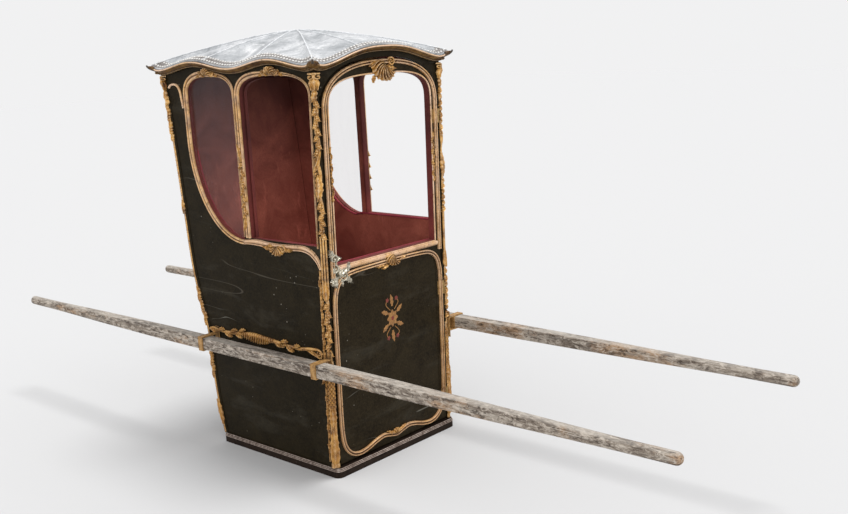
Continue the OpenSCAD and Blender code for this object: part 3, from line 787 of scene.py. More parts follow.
def window_glass():
    """Clear glass with streaks of dust."""
    mat = bpy.data.materials.new("window_glass")
    mat.use_nodes = True
    tree = mat.node_tree
    tree.nodes.remove(tree.nodes["Principled BSDF"])
    out = tree.nodes["Material Output"]
    through = tree.nodes.new("ShaderNodeBsdfTransparent")
    dust = tree.nodes.new("ShaderNodeBsdfDiffuse")
    shine = tree.nodes.new("ShaderNodeBsdfGlossy")
    film, coat = tree.nodes.new("ShaderNodeMixShader"), tree.nodes.new("ShaderNodeMixShader")
    streak = noise(tree, coords(tree, (1, 3.2, 0.35)), 11, 7, 0.68, 0.5)
    smear = noise(tree, coords(tree), 24, 6, 0.7, 1.5)
    through.inputs["Color"].default_value = (0.99, 0.985, 0.985, 1)
    dust.inputs["Color"].default_value = (0.33, 0.31, 0.35, 1)
    shine.inputs["Color"].default_value = (0.8, 0.8, 0.84, 1)
    shine.inputs["Roughness"].default_value = 0.12
    amount = mixed(
        tree, 0.4, ramp(tree, streak, (0.46, 0.001), (0.76, 0.028)),
        ramp(tree, smear, (0.52, 0.001), (0.78, 0.032)),
    )
    tree.links.new(amount, film.inputs["Fac"])
    tree.links.new(through.outputs[0], film.inputs[1])
    tree.links.new(dust.outputs[0], film.inputs[2])
    coat.inputs["Fac"].default_value = 0.02
    tree.links.new(film.outputs[0], coat.inputs[1])
    tree.links.new(shine.outputs[0], coat.inputs[2])
    tree.links.new(coat.outputs[0], out.inputs["Surface"])
    return mat


def metal(name, low, high, rough=0.42, amount=0.8):
    """Patchy metal with dirt and painted shade in its hollows. With an amount of 0 it does for
    leather.
    """
    mat, tree, bsdf = new_material(name, rough, amount)
    at = coords(tree)
    patch = noise(tree, at, 70, 8, 0.7, 0.4)
    base = ramp(tree, patch, (0.34, low), (0.66, high))
    # dirt and painted shade: darker in the concave hollows
    dirt_and_shade = ramp(tree, pointed(tree), (0.44, 1), (0.492, 0))
    base = mixed(tree, dirt_and_shade, base, tuple(c * 0.2 for c in low))
    tree.links.new(base, bsdf.inputs["Base Color"])
    tree.links.new(ramp(tree, patch, (0.3, rough - 0.12), (0.7, rough + 0.18)),
                   bsdf.inputs["Roughness"])
    bumped(tree, bsdf, patch, 0.3, 0.0008, rounded(tree, 0.6 * MM))
    return mat


GILT = gilt()
GILT_FLAT = gilt("gilt_flat", 0.5, 0.95, 0.25)
# pale gilt for the beads and the cornice lip: rubbed gilt with much painted highlight
GILT_PALE = gilt("gilt_rubbed_and_highlit", 0.9, 1.0, 0.3)
PAINT = dark_paint("dark_paint", (0.0055, 0.0038, 0.0013), (0.0165, 0.0118, 0.005))
PAINT_DOOR = dark_paint("dark_paint_door", (0.0072, 0.0046, 0.0016), (0.0215, 0.0152, 0.0066))
LEATHER = roof_leather()
WELT = metal("welt_leather", (0.5, 0.52, 0.54), (0.86, 0.87, 0.88), 0.6, 0.0)
BINDING = metal("edge_binding", (0.1, 0.085, 0.075), (0.3, 0.28, 0.27), 0.7, 0.0)
NAIL = metal("nail_heads", (0.45, 0.44, 0.42), (0.8, 0.78, 0.75), 0.4, 0.35)
POLE = pole_wood()
SLAB = plain_wood("slab_wood", (0.009, 0.005, 0.0035), (0.033, 0.0205, 0.014))
WOOD = plain_wood("bare_wood", (0.06, 0.035, 0.018), (0.16, 0.095, 0.05))
LEDGE = worn_line()
LINING = red_cloth("red_lining", (0.27, 0.055, 0.034), (0.56, 0.15, 0.095), 0.1, 0.82)
PIPING = red_cloth("crimson_piping", (0.26, 0.016, 0.034), (0.46, 0.045, 0.075), 0.3)
CUSHION = red_cloth("cushion_velvet", (0.2, 0.02, 0.022), (0.38, 0.05, 0.044), 0.4)
GLASS = window_glass()
STRAP = metal("strap_iron", (0.22, 0.1, 0.028), (0.6, 0.36, 0.13), 0.5, 0.3)
BRASS = metal("hinge_brass", (0.22, 0.13, 0.045), (0.5, 0.34, 0.14), 0.4)
SILVER = metal("lock_metal", (0.3, 0.27, 0.2), (0.74, 0.7, 0.58), 0.36)
# darker copies of the gilt, a painted shade on the cornice and its corner caps
CAP = gilt("gilt_painted_shade", 0.0, 0.24)
CORNICE_GILT = gilt("gilt_cornice", 0.0, 0.3, 0.2)
REVEAL = red_cloth("red_reveal", (0.13, 0.018, 0.014), (0.27, 0.045, 0.034), 0.05, 0.6)
PAINTED_GOLD = metal("painted_gold", (0.2, 0.085, 0.02), (0.46, 0.22, 0.06), 0.55, 0.05)
PAINTED_RED = metal("painted_red", (0.12, 0.014, 0.008), (0.26, 0.04, 0.02), 0.55, 0.0)
DARK_TIP = metal("dark_tip", (0.03, 0.022, 0.015), (0.1, 0.07, 0.045), 0.5, 0.2)


def dress(material, *names):
    """Gives CAD nodes their material."""
    for name in names:
        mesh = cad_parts[name].data
        mesh.materials.clear()
        mesh.materials.append(material)


def both(name):
    """A node's name on the left and on the right."""
    return [name + "_left", name + "_right"]


dress(PAINT, "back_wall", "front_header", *both("side_wall"), *both("rear_post"))
dress(PAINT, *both("front_post"))
dress(PAINT_DOOR, "door_frame", "door_panel")
dress(LINING, "back_lining", "door_lining", "roof_lining", *both("side_lining"))
dress(WOOD, "floor_board", "seat_riser", "seat_cleats", "seat_board")
dress(GLASS, *both("rear_glass"))
dress(STRAP, *both("strap_front"), *both("strap_rear"))
dress(BRASS, "door_post_hinges", "door_leaf_hinges", "roof_wall_hinges", "roof_leaf_hinges")
dress(SILVER, "door_handle", "door_lock")
dress(SLAB, "base_plinth")
dress(CUSHION, "seat_cushion")
dress(GILT, "cornice")
dress(LEATHER, "roof_dome")
dress(POLE, "pole_left", "pole_right")


def redden(name, side=0):
    """Dark red on the inner face of a shell and in its windows' reveals."""
    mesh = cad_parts[name].data
    mesh.materials.append(REVEAL)
    for face in mesh.polygons:
        x, y, z = face.center
        if side:
            inward = -side * face.normal.x
            in_window = front_y(CROWN) + 30 * MM < y < rear_y(z) - 60 * MM
            top = CROWN
            to_mid = ((FRONT_MID if y < MULLION_MID else REAR_MID) - y) * face.normal.y
        else:
            inward = face.normal.y
            in_window = abs(x) < DOOR_WINDOW_HALF + 1 * MM
            top = DOOR_WINDOW_TOP
            to_mid = -x * face.normal.x
        in_window = in_window and DOOR_SILL - 10 * MM < z < top + 1 * MM
        to_mid += ((SILL + CROWN) / 2 - z) * face.normal.z
        reveal = abs(inward) < 0.5 and in_window and to_mid > 0 and name != "front_header"
        if inward > 0.5 or reveal:
            face.material_index = 1


redden("side_wall_left", -1)
redden("side_wall_right", 1)
redden("door_frame")
redden("front_header")


# Gilt mouldings and carving on the door


def door_arch_moulding(build):
    inset = 10 * MM
    half = DOOR_HALF - inset
    line = arch(0, half, DOOR_SPRING, DOOR_TOP - inset, 2.5)
    line = [(half, 0.79), *line, (-half, 0.79)]
    sweep(build, front_face, spaced(line, STEP), REEDED, 17 * MM, 10 * MM)


def door_window_bead(build):
    grow = 3.5 * MM
    half = DOOR_WINDOW_HALF + grow
    line = arch(0, half, DOOR_SPRING, DOOR_WINDOW_TOP + grow, 3.3)
    line += [(-half, DOOR_SILL - grow), (half, DOOR_SILL - grow)]
    sweep(build, front_face, spaced(line, STEP, True), ROUND, 6 * MM, 4 * MM, closed=True)


def door_panel_line():
    """The centre of the lower panel's moulding, closed: right half, then its mirror."""
    right = [
        (0.0, 0.799), (0.06, 0.798), (0.13, 0.797), (0.2, 0.794), (0.245, 0.786),
        (0.278, 0.764), (0.296, 0.726), (0.3025, 0.67), (0.303, 0.52), (0.303, 0.36),
        (0.302, 0.22), (0.296, 0.142), (0.281, 0.1), (0.252, 0.071), (0.212, 0.0595),
        (0.166, 0.065), (0.12, 0.079), (0.075, 0.087), (0.036, 0.08), (0.0, 0.072),
    ]
    return mirrored(right)


def door_panel_moulding(build):
    line = spaced(door_panel_line(), STEP, True)
    sweep(build, front_face, line, REEDED, 18 * MM, 10 * MM, closed=True)


def door_waist(build):
    line = spaced([(0.292, 0.8185), (-0.292, 0.8185)], 8 * MM)
    sweep(build, front_face, line, BAND, 17 * MM, 8 * MM)


def door_shells(build):
    """The shells at the door's crown, waist and foot, with their leaves."""
    face, top = front_face, DOOR_TOP
    crown = (0.022, top - 18 * MM)
    shell(build, face, crown, math.radians(-152), 0.076, 2.3, 8, 20 * MM, 5 * MM, 0.85, 0.7)
    shell(build, face, crown, math.radians(-85), 0.066, 1.3, 5, 15 * MM, 4 * MM, 1.0, 0.3)
    scroll(build, face, (0.05, top - 13 * MM), 2.6, 0.017, 1.5, 9 * MM, 12 * MM, -1, 6 * MM)
    waist = (0.03, 0.822)
    shell(build, face, waist, math.radians(-140), 0.058, 1.9, 7, 15 * MM, 4 * MM, 0.8, 0.6)
    scroll(build, face, (-0.012, 0.805), 2.9, 0.015, 1.3, 7 * MM, 9 * MM, -1, 4 * MM)
    shell(build, face, (0.0, 0.072), UP, 0.026, 2.6, 5, 10 * MM, 3 * MM)
    leaves(build, face, (
        (0.02, top - 0.03, -0.3, 0.062, 0.024, 10, 0.3, 5),
        (0.03, top - 0.008, 0.05, 0.05, 0.018, 9, -0.5, 6),
        (-0.03, top - 0.062, -2.5, 0.032, 0.02, 9, 0.8, 3),
        (0.034, top - 0.062, -0.8, 0.026, 0.016, 8, -0.7, 3),
        (-0.02, top - 0.01, 3.3, 0.05, 0.02, 10, 0.4, 5),
        (0.0, 0.79, -2.6, 0.05, 0.02, 9, -0.5, 3),
        (-0.02, 0.79, 3.3, 0.06, 0.018, 8, -0.3, 3),
        (0.05, 0.795, 0.05, 0.05, 0.018, 8, 0.3, 3),
        (-0.012, 0.079, UP + 1.3, 0.05, 0.016, 7, -0.3, 3),
        (0.012, 0.079, UP - 1.3, 0.05, 0.016, 7, 0.3, 3),
    ))


def door_sprays(build):
    """Small leaves on the bead at each side of the door's window."""
    for s in (-1, 1):
        u = s * (DOOR_WINDOW_HALF + 5 * MM)
        for i in range(9):
            z = 1.075 + 0.022 * i
            leaf(build, front_face, (u, z), UP + s * (0.5 if i % 2 else -0.5), 0.03,
                 0.01, 7 * MM, s * (-1.2 if i % 2 else 1.2), 3, 2 * MM)
            if i % 3 == 0:
                boss(build, front_face, (u, z + 0.008), 0.005, 7 * MM, base=3 * MM)


def door_medallion():
    """A plain flower spray in place of the painted arms."""
    gold, red = Build(), Build()
    u, v, low = 0.01, 0.56, -0.8 * MM
    bud_stem = ((0.012, 0.035), (0.035, 0.06), (0.026, 0.078))
    boss(gold, front_face, (u, v), 0.027, 1.6 * MM, 8, low, 1.15)
    boss(red, front_face, (u, v), 0.0095, 2.4 * MM, 0, low, 1.1)
    for i in range(6):
        a = math.radians(90 + 60 * i)
        reach = 0.036 if i % 3 else 0.04
        at = (u + reach * math.cos(a) * 0.8, v + reach * math.sin(a) * 1.25)
        leaf(gold, front_face, at, a, 0.04 if i % 3 else 0.05, 0.017, 1.5 * MM, 0.3, 3, low)
    for s in (-1, 1):
        for t in (-1, 1):
            stem = [(u + s * a, v + t * b) for a, b in bud_stem]
            boss(red, front_face, stem[-1], 0.0085, 1.6 * MM, 5, low)
            sweep(gold, front_face, catmull(stem, 8), ROUND, 3 * MM, 1.2 * MM, base=low)
    piece("door_flower_spray", gold, PAINTED_GOLD, "door")
    piece("door_flower_buds", red, PAINTED_RED, "door")


def door_lock_mount():
    """The pale scrolled mount over the lock plate."""
    build, face = Build(), front_face
    x, z = LOCK_LOW.x + 15 * MM, LOCK_LOW.z + 24 * MM
    top = 3 * MM
    for u, v, angle, radius, turns, way in (
        (-0.002, 0.07, -1.2, 0.019, 1.4, 1), (0, 0.03, 1.9, 0.018, 1.3, -1),
        (0.046, -0.002, 3.0, 0.02, 1.4, 1),
    ):
        scroll(build, face, (x + u, z + v), angle, radius, turns, 10 * MM, 12 * MM, way, top)
    leaves(build, face, (
        (x - 0.006, z + 0.076, 1.8, 0.036, 0.026, 12, 0.6, 3),
        (x + 0.006, z + 0.06, 0.6, 0.03, 0.018, 10, -0.6, 3),
        (x + 0.002, z + 0.012, 2.2, 0.03, 0.02, 11, -0.7, 3),
        (x + 0.004, z - 0.002, -1.9, 0.042, 0.03, 12, 0.8, 3),
        (x - 0.004, z - 0.01, -2.6, 0.024, 0.018, 9, 0.5, 3),
        (x + 0.012, z + 0.004, 0.15, 0.06, 0.03, 13, 0.6, 3),
        (x + 0.056, z + 0.006, 0.85, 0.044, 0.024, 11, 0.5, 3),
        (x + 0.056, z - 0.01, -0.5, 0.044, 0.022, 10, -0.6, 3),
        (x + 0.03, z - 0.012, -1.2, 0.03, 0.02, 10, -0.5, 3),
    ))
    boss(build, face, (x + 0.024, z + 0.024), 0.011, 8 * MM, 5, top)
    piece("door_lock_scrolls", build, SILVER, "door")


def door_trim():
    build, carving = Build(), Build()
    door_arch_moulding(build)
    door_panel_moulding(build)
    door_shells(carving)
    door_sprays(carving)
    piece("door_gilt_mouldings", build, GILT_FLAT, "door")
    piece("door_gilt_carving", carving, GILT, "door")
    pale = Build()
    door_window_bead(pale)
    door_waist(pale)
    piece("door_gilt_beads", pale, GILT_PALE, "door")


# Gilt mouldings and carving on the sides


def hug(build, place, edge, width, height):
    """A moulding along the right of an opening's edge; width is a function of its share."""
    n, gap = len(edge), 1 * MM
    line = []
    for i, p in enumerate(edge):
        a, b = Vector(edge[max(i - 1, 0)]), Vector(edge[min(i + 1, n - 1)])
        t = (b - a).normalized()
        d = width(i / (n - 1)) / 2 + gap
        line.append((p[0] + t.y * d, p[1] - t.x * d))
    full = max(width(i / 20) for i in range(21))
    sweep(
        build, place, line, REEDED, full, height,
        grow=lambda s: (width(s) / full, 0.55 + 0.45 * width(s) / full),
    )


def steps(*pairs):
    """A value that runs smoothly between (share, value) pairs."""

    def value(s):
        for (s0, v0), (s1, v1) in zip(pairs, pairs[1:]):
            if s <= s1:
                t = max(0, (s - s0) / (s1 - s0))
                return v0 + (v1 - v0) * t * t * (3 - 2 * t)
        return pairs[-1][1]

    return value


def window_head(mid, half):
    return arch(mid, half, CROWN - WINDOW_RISE, CROWN, WINDOW_POWER)


def front_window(low):
    """The front window's edge, from its sill at the mullion to low at its front."""
    return [(MULLION[0], SILL), *window_head(FRONT_MID, FRONT_HALF), (FRONT_EDGE, low)]


def rear_curve(grow=0.0, steps=18):
    """The rear window's curved lower edge, from the mullion back, grow outside it."""
    out = []
    for i in range(steps + 1):
        t = math.pi / 2 * i / steps
        out.append((
            MULLION[1] + (REAR_EDGE - MULLION[1] + grow) * math.sin(t),
            KNEE - (KNEE - REAR_LOW + grow) * math.cos(t),
        ))
    return out


def front_window_moulding(build, place):
    edge = spaced(front_window(SILL - 6 * MM), STEP)
    width = steps((0, 25 * MM), (0.4, 23 * MM), (0.5, 15 * MM), (0.6, 8 * MM), (1, 6 * MM))
    hug(build, place, edge, width, 9 * MM)


def rear_window_moulding(build, place):
    edge = rear_curve() + window_head(REAR_MID, REAR_EDGE - REAR_MID)
    edge = spaced([*edge, (MULLION[1], REAR_LOW + 12 * MM)], STEP)
    width = steps(
        (0, 20 * MM), (0.3, 25 * MM), (0.5, 25 * MM), (0.6, 15 * MM), (0.68, 8 * MM), (1, 6 * MM)
    )
    hug(build, place, edge, width, 9 * MM)


def waist_moulding(build, place):
    line = catmull([
        (-0.3335, 0.826), (-0.326, 0.846), (-0.311, 0.868), (-0.281, 0.8885),
        (-0.235, 0.898), (-0.17, 0.895), (-0.1, 0.892), (-0.04, 0.8935),
        (0.01, 0.8975), (0.06, 0.897), (0.105, 0.893),
    ], 8)
    sweep(
        build, place, spaced(line, STEP), STEPPED, 24 * MM, 10 * MM,
        grow=steps((0, 0.6), (0.12, 0.95), (0.8, 1), (1, 0.75)),
    )


def spandrel_line(build, place):
    line = catmull(
        [(0.5115, 1.503), (0.498, 1.513), (0.478, 1.5165), (0.455, 1.511), (0.44, 1.493),
         (0.432, 1.46), (0.425, 1.42)], 8,
    )
    sweep(build, place, spaced(line, 6 * MM), ROUND, 9 * MM, 7 * MM)


def crown_cartouche(build, place, mid):
    z = CROWN + 14 * MM
    shell(build, place, (mid, z - 10 * MM), UP, 0.036, 2.6, 7, 15 * MM, 6 * MM, 0.9, 0.3)
    for s in (-1, 1):
        out = UP - s * UP
        scroll(build, place, (mid + s * 0.034, z + 2 * MM), UP - s * 0.9, 0.0125, 1.25,
               7 * MM, 10 * MM, -s, 6 * MM)
        leaf(build, place, (mid + s * 0.012, z - 8 * MM), out + s * 0.1, 0.042, 0.017, 9 * MM,
             s * 0.5, base=6 * MM)
        leaf(build, place, (mid + s * 0.042, z - 6 * MM), out - s * 0.15, 0.03, 0.013, 7 * MM,
             -s * 0.3, base=5 * MM)


def waist_shell(build, place):
    at = (-0.1, 0.899)
    shell(build, place, at, DOWN - 0.25, 0.048, 2.5, 7, 15 * MM, 6 * MM, 0.85, 0.4)
    scroll(build, place, (-0.136, 0.888), 0.5, 0.014, 1.3, 8 * MM, 10 * MM, 1, 6 * MM)
    leaves(build, place, (
        (-0.128, 0.886, math.pi + 0.12, 0.062, 0.017, 9, -0.3, 6),
        (-0.07, 0.884, -0.1, 0.055, 0.019, 9, 0.35, 6),
        (-0.078, 0.89, 0.35, 0.035, 0.015, 8, -0.4, 8),
    ))


def carved_rail(build, place):
    """The rail above the pole: a flowing stem, fluted in its middle, that ends in scrolls."""
    line = catmull([
        (0.392, 0.493), (0.36, 0.503), (0.315, 0.496), (0.25, 0.496), (0.18, 0.503), (0.1, 0.508),
        (0.02, 0.504), (-0.06, 0.5), (-0.13, 0.496), (-0.18, 0.495), (-0.235, 0.503),
        (-0.285, 0.506), (-0.308, 0.492),
    ], 8)
    line = spaced(line, STEP)
    full = steps((0, 0.5), (0.25, 0.8), (0.4, 1), (0.55, 1), (0.7, 0.6), (0.85, 0.75), (1, 0.45))
    sweep(build, place, line, ROUND, 19 * MM, 10 * MM, grow=full)
    n = len(line)
    flutes = range(int(n * 0.32), int(n * 0.6))
    for i in flutes[::2]:
        u, v = line[i]
        arc = math.sin(math.pi * (i - flutes[0] + 0.5) / len(flutes)) ** 0.5
        leaf(build, place, (u, v + 9 * MM), DOWN, 0.036 * arc, 12.5 * MM, 15 * MM, 0.25, 1)
    for s, turn, size in ((0.1, -0.5, 0.04), (0.16, 0.5, 0.05), (0.21, -0.5, 0.05),
                          (0.26, 0.6, 0.05), (0.29, -0.6, 0.05), (0.61, 0.5, 0.04),
                          (0.65, -0.6, 0.048), (0.7, 0.6, 0.05), (0.76, -0.5, 0.04)):
        i = int(n * s)
        a, c = Vector(line[i]), Vector(line[i + 1])
        way = math.atan2((c - a).y, (c - a).x)
        leaf(build, place, line[i], way + turn, size, 0.021, 12 * MM, -turn, 4, 2 * MM)
    for i in (int(n * 0.63), int(n * 0.67)):
        boss(build, place, (line[i][0], line[i][1] - 0.006), 0.0085, 11 * MM, 5, 2 * MM)
    leaf(build, place, (0.385, 0.499), -2.9, 0.05, 0.018, 10 * MM, 0.5, 4, 1 * MM)
    scroll(build, place, (-0.295, 0.489), 0.9, 0.016, 1.3, 9 * MM, 10 * MM, -1, 1 * MM)
    leaf(build, place, (-0.225, 0.496), math.pi + 0.1, 0.065, 0.016, 10 * MM, 0.35, 5, 2 * MM)


def mullion_spray(build, place):
    u = MULLION_MID - 5 * MM
    for i in range(9):
        way = 1 if i % 2 else -1
        z = 1.215 - 0.025 * i
        size = 0.034 if i in (0, 8) else 0.042
        curl(build, place, (u - way * 5 * MM, z), DOWN + way * 0.5, size, -way, 10 * MM,
             6 * MM)
        if i in (3, 6):
            boss(build, place, (u, z - 4 * MM), 0.009, 10 * MM, 5, 8 * MM)
    leaf(build, place, (u, 1.0), DOWN, 0.06, 0.018, 10 * MM, 0.4, base=6 * MM)
    leaf(build, place, (u, 1.215), UP, 0.07, 0.018, 10 * MM, -0.4, base=6 * MM)


def side_trim(side):
    place = side_face(side)
    build, pale, carving = Build(), Build(), Build()
    front_window_moulding(build, place)
    rear_window_moulding(build, place)
    waist_moulding(pale, place)
    spandrel_line(pale, place)
    for mid in (FRONT_MID, REAR_MID):
        crown_cartouche(carving, place, mid)
    waist_shell(carving, place)
    carved_rail(carving, place)
    mullion_spray(carving, place)
    piece(f"side_gilt_mouldings_{side}", build, GILT_FLAT, "cabin")
    piece(f"side_gilt_beads_{side}", pale, GILT_PALE, "cabin")
    piece(f"side_gilt_carving_{side}", carving, GILT, "cabin")


# Carved corner posts


def trailing_leaves(build, place, low, high, pitch, length, width, height, rng, down=True):
    """Leaves that wind along a post, to one side and then the other."""
    z, way = (high, -1) if down else (low, 1)
    i = 0
    while low <= z <= high:
        side = 1 if i % 2 else -1
        lean = 0.5 + rng.uniform(-0.12, 0.12)
        size = rng.uniform(0.85, 1.12)
        leaf(
            build, place, (-side * 2.5 * MM, z), way * UP - way * side * lean,
            length * size, width * size, height * size, way * side * 1.1, 3, 1.5 * MM,
        )
        z += way * pitch
        i += 1


def curling_leaves(build, place, low, high, pitch, size, height, rng):
    """Curled leaves down a post, each with a bud, that turn to either side."""
    z, i = high, 0
    while z > low:
        side = 1 if i % 2 else -1
        span = size * rng.uniform(0.85, 1.15)
        curl(build, place, (-side * 5 * MM, z), DOWN + side * 0.55, span, -side, height)
        tip = (side * 8 * MM, z - 0.3 * pitch)
        leaf(build, place, tip, DOWN - side * 0.9, span * 0.5, 8 * MM, height * 0.8,
             side * 1.2, 2)
        z -= pitch
        i += 1


def capital(build, place, top, reach):
    """The scrolled head of a corner post, with a leaf that falls from it."""
    for s in (-1, 1):
        scroll(build, place, (s * reach * 0.5, top - 14 * MM), UP, reach * 0.55, 1.3,
               7 * MM, 13 * MM, s, 2 * MM)
        leaf(build, place, (s * reach * 0.45, top - 62 * MM), UP - s * 0.15, 0.05,
             0.017, 11 * MM, s * 0.5, 2, 1 * MM)
    bar = spaced([(-reach, top - 3 * MM), (reach, top - 3 * MM)], 5 * MM)
    sweep(build, place, bar, ROUND, 9 * MM, 11 * MM)
    leaf(build, place, (0, top - 60 * MM), UP, 0.056, 0.026, 13 * MM, 0, 2, 1 * MM)
    leaf(build, place, (0, top - 56 * MM), DOWN, 0.05, 0.024, 10 * MM, 0.4, 3)


def front_centre(v):
    return front_y(v) + POST_D / 2


def rear_centre(v):
    return rear_y(v) - 11 * MM


def front_column(side):
    """The carved column at a front corner, from its capital down to its foot."""
    rng = random.Random(11)
    build = Build()
    place = column(side, 12.5 * MM, HALF_W - POST_W / 2, front_centre, -45)
    top = EAVE + 4 * MM
    stem = [(4 * MM * math.sin(z * 52), z) for z in (0.96 + 0.01 * i for i in range(54))]
    sweep(build, place, stem, ROUND, 13 * MM, 4 * MM)
    capital(build, place, top, 19 * MM)
    curling_leaves(build, place, 1.28, 1.48, 25 * MM, 0.036, 10 * MM, rng)
    leaf(build, place, (-5 * MM, 1.285), DOWN + 0.1, 0.105, 0.022, 10 * MM, 0.3, 1)
    for i in range(5):
        leaf(build, place, (4 * MM, 1.27 - 0.018 * i), -0.9, 0.022, 0.009, 9 * MM, -0.9, 2)
    leaf(build, place, (5 * MM, 1.185), DOWN - 0.12, 0.1, 0.03, 13 * MM, 0.3, 5)
    leaf(build, place, (-7 * MM, 1.17), DOWN + 0.2, 0.07, 0.013, 9 * MM, 0.4, 4)
    curling_leaves(build, place, 0.97, 1.085, 23 * MM, 0.034, 10 * MM, rng)
    for u in (-8 * MM, 0.0, 8 * MM):
        rod = spaced([(u, 0.735), (u, 0.955)], 12 * MM)
        sweep(build, place, rod, ROUND, 6.5 * MM, 6 * MM)
    leaf(build, place, (0, 0.78), DOWN, 0.075, 0.032, 10 * MM, 0, 1)
    stem = [(4 * MM * math.sin(z * 52), z) for z in (0.46 + 0.01 * i for i in range(26))]
    sweep(build, place, stem, ROUND, 12 * MM, 4 * MM)
    curling_leaves(build, place, 0.5, 0.7, 26 * MM, 0.036, 10 * MM, rng)
    core = spaced([(0.0, FOOT_Z + 3 * MM), (0.0, 0.47)], 12 * MM)
    sweep(build, place, core, ROUND, 30 * MM, 3 * MM)
    scales(build, place, 0.29, 0.45)
    leaf(build, place, (0, 0.285), DOWN, 0.085, 0.03, 9 * MM, 0, 4, 2 * MM)
    leaf(build, place, (0, 0.055), UP, 0.15, 0.036, 9 * MM, 0, 5, 2 * MM)
    for s in (-1, 1):
        leaf(build, place, (s * 8 * MM, 0.05), UP - s * 0.1, 0.09, 0.02, 7 * MM,
             s * 0.2, 3, 2 * MM)
    block = spaced([(0.0, FOOT_Z + 2 * MM), (0.0, FOOT_Z + 20 * MM)], 6 * MM)
    sweep(build, place, block, REEDED, 36 * MM, 6.5 * MM)
    piece(f"front_post_carving_{side}", build, GILT, "cabin")


def scales(build, place, low, high):
    """Overlapping scales between two heights on a post."""
    z, i = low, 0
    while z < high:
        for k in (-1, 0, 1) if i % 2 else (-0.5, 0.5):
            leaf(build, place, (k * 9 * MM, z), DOWN, 15 * MM, 10 * MM, 5 * MM, 0, 1,
                 2 * MM)
        z += 9 * MM
        i += 1


def side_strip(side):
    """The leafy strip on a side's face behind the front corner."""
    rng = random.Random(5)
    build = Build()
    face = side_face(side)

    def place(u, v, w):
        return face(front_y(v) + 27 * MM + u, v, w)

    trailing_leaves(build, place, 0.5, 0.82, 26 * MM, 0.04, 0.013, 6 * MM, rng)
    trailing_leaves(build, place, 0.09, 0.4, 30 * MM, 0.042, 0.016, 7 * MM, rng, down=False)
    scroll(build, place, (6 * MM, 0.452), 1.5, 13 * MM, 1.5, 7 * MM, 9 * MM, -1)
    leaf(build, place, (4 * MM, 0.43), DOWN, 0.06, 0.022, 9 * MM, 0.6)
    line = [(5 * MM, 0.06), (5 * MM, 0.8)]
    sweep(build, place, spaced(line, 12 * MM), ROUND, 6 * MM, 4 * MM)
    piece(f"front_post_strip_{side}", build, GILT, "cabin")


def rear_post_trim(side):
    """The narrow carved edge of a rear corner."""
    rng = random.Random(23)
    build = Build()
    place = column(side, 11.5 * MM, HALF_W - 11 * MM, rear_centre, 20)
    top = EAVE + 8 * MM
    edge = spaced([(0.0, FOOT_Z + 4 * MM), (0.0, top)], 10 * MM)
    sweep(build, place, edge, ROUND, 12 * MM, 3.4 * MM)
    capital(build, place, top, 15 * MM)
    trailing_leaves(build, place, 1.3, 1.475, 26 * MM, 0.044, 0.021, 9 * MM, rng)
    beads(build, place, spaced([(0, 1.04), (0, 1.28)], 11 * MM), 4.5 * MM, 4 * MM, 2 * MM)
    leaf(build, place, (0, 1.04), DOWN, 0.06, 0.018, 7 * MM, 0, 3, 2 * MM)
    trailing_leaves(build, place, 0.53, 0.67, 25 * MM, 0.044, 0.022, 8 * MM, rng)
    trailing_leaves(build, place, 0.29, 0.44, 25 * MM, 0.044, 0.022, 8 * MM, rng)
    leaf(build, place, (0, 0.075), UP, 0.11, 0.026, 8 * MM, 0, 4, 2 * MM)
    piece(f"rear_post_carving_{side}", build, GILT, "cabin")


# The back, finished as the sides are


def back_trim():
    build, pale = Build(), Build()
    half = HALF_W - 42 * MM
    head = arch(0, half, 1.415, 1.478, 2.8)
    upper = head + [(-half, 0.93), (half, 0.93)]
    sweep(pale, back_face, spaced(upper, 9 * MM, True), REEDED, 18 * MM, 8 * MM, closed=True)
    right = [
        (0.0, 0.885), (0.14, 0.882), (0.24, 0.872), (0.285, 0.84), (half, 0.78), (half, 0.5),
        (half, 0.2), (0.288, 0.125), (0.25, 0.09), (0.19, 0.082), (0.12, 0.098), (0.05, 0.108),
        (0.0, 0.095),
    ]
    lower = spaced(mirrored(right), 9 * MM, True)
    sweep(build, back_face, lower, REEDED, 18 * MM, 8 * MM, closed=True)
    shell(build, back_face, (0, 0.9), DOWN, 0.045, 2.4, 7, 12 * MM, 3 * MM)
    shell(build, back_face, (0, 1.462), UP, 0.045, 2.4, 7, 12 * MM, 3 * MM)
    for s in (-1, 1):
        out = UP - s * UP
        for z in (0.888, 1.474):
            leaf(build, back_face, (s * 0.024, z), out, 0.06, 0.019, 9 * MM, s * 0.3, base=3 * MM)
            scroll(build, back_face, (s * 0.036, z + 4 * MM), UP, 0.014, 1.3, 8 * MM,
                   10 * MM, -s, 3 * MM)
    piece("back_gilt_mouldings", build, GILT, "cabin")
    piece("back_gilt_beads", pale, GILT_PALE, "cabin")


# Cornice and roof

CORNICE = (
    (0, 0.3), (0.2, 0.3), (0.36, 0.32), (0.42, 0.37), (0.4, 0.43), (0.36, 0.45), (0.4, 0.5),
    (0.52, 0.6), (0.66, 0.68), (0.78, 0.72), (0.8, 0.77), (0.88, 0.79), (0.97, 0.83),
    (1, 0.9), (0.96, 0.98), (0.86, 1), (0, 1),
)
RING_N = 56


def plan_place(half, y0, y1, side, t):
    """A place at a share t along a side of a plan, whose sides go round from the front."""
    corners = ((-half, y0), (half, y0), (half, y1), (-half, y1))
    (xa, ya), (xb, yb) = corners[side], corners[(side + 1) % 4]
    return xa + (xb - xa) * t, ya + (yb - ya) * t


def low_at(side, x, y):
    if side % 2:
        return side_low(y)
    return front_low(x) if side == 0 else rear_low(x)


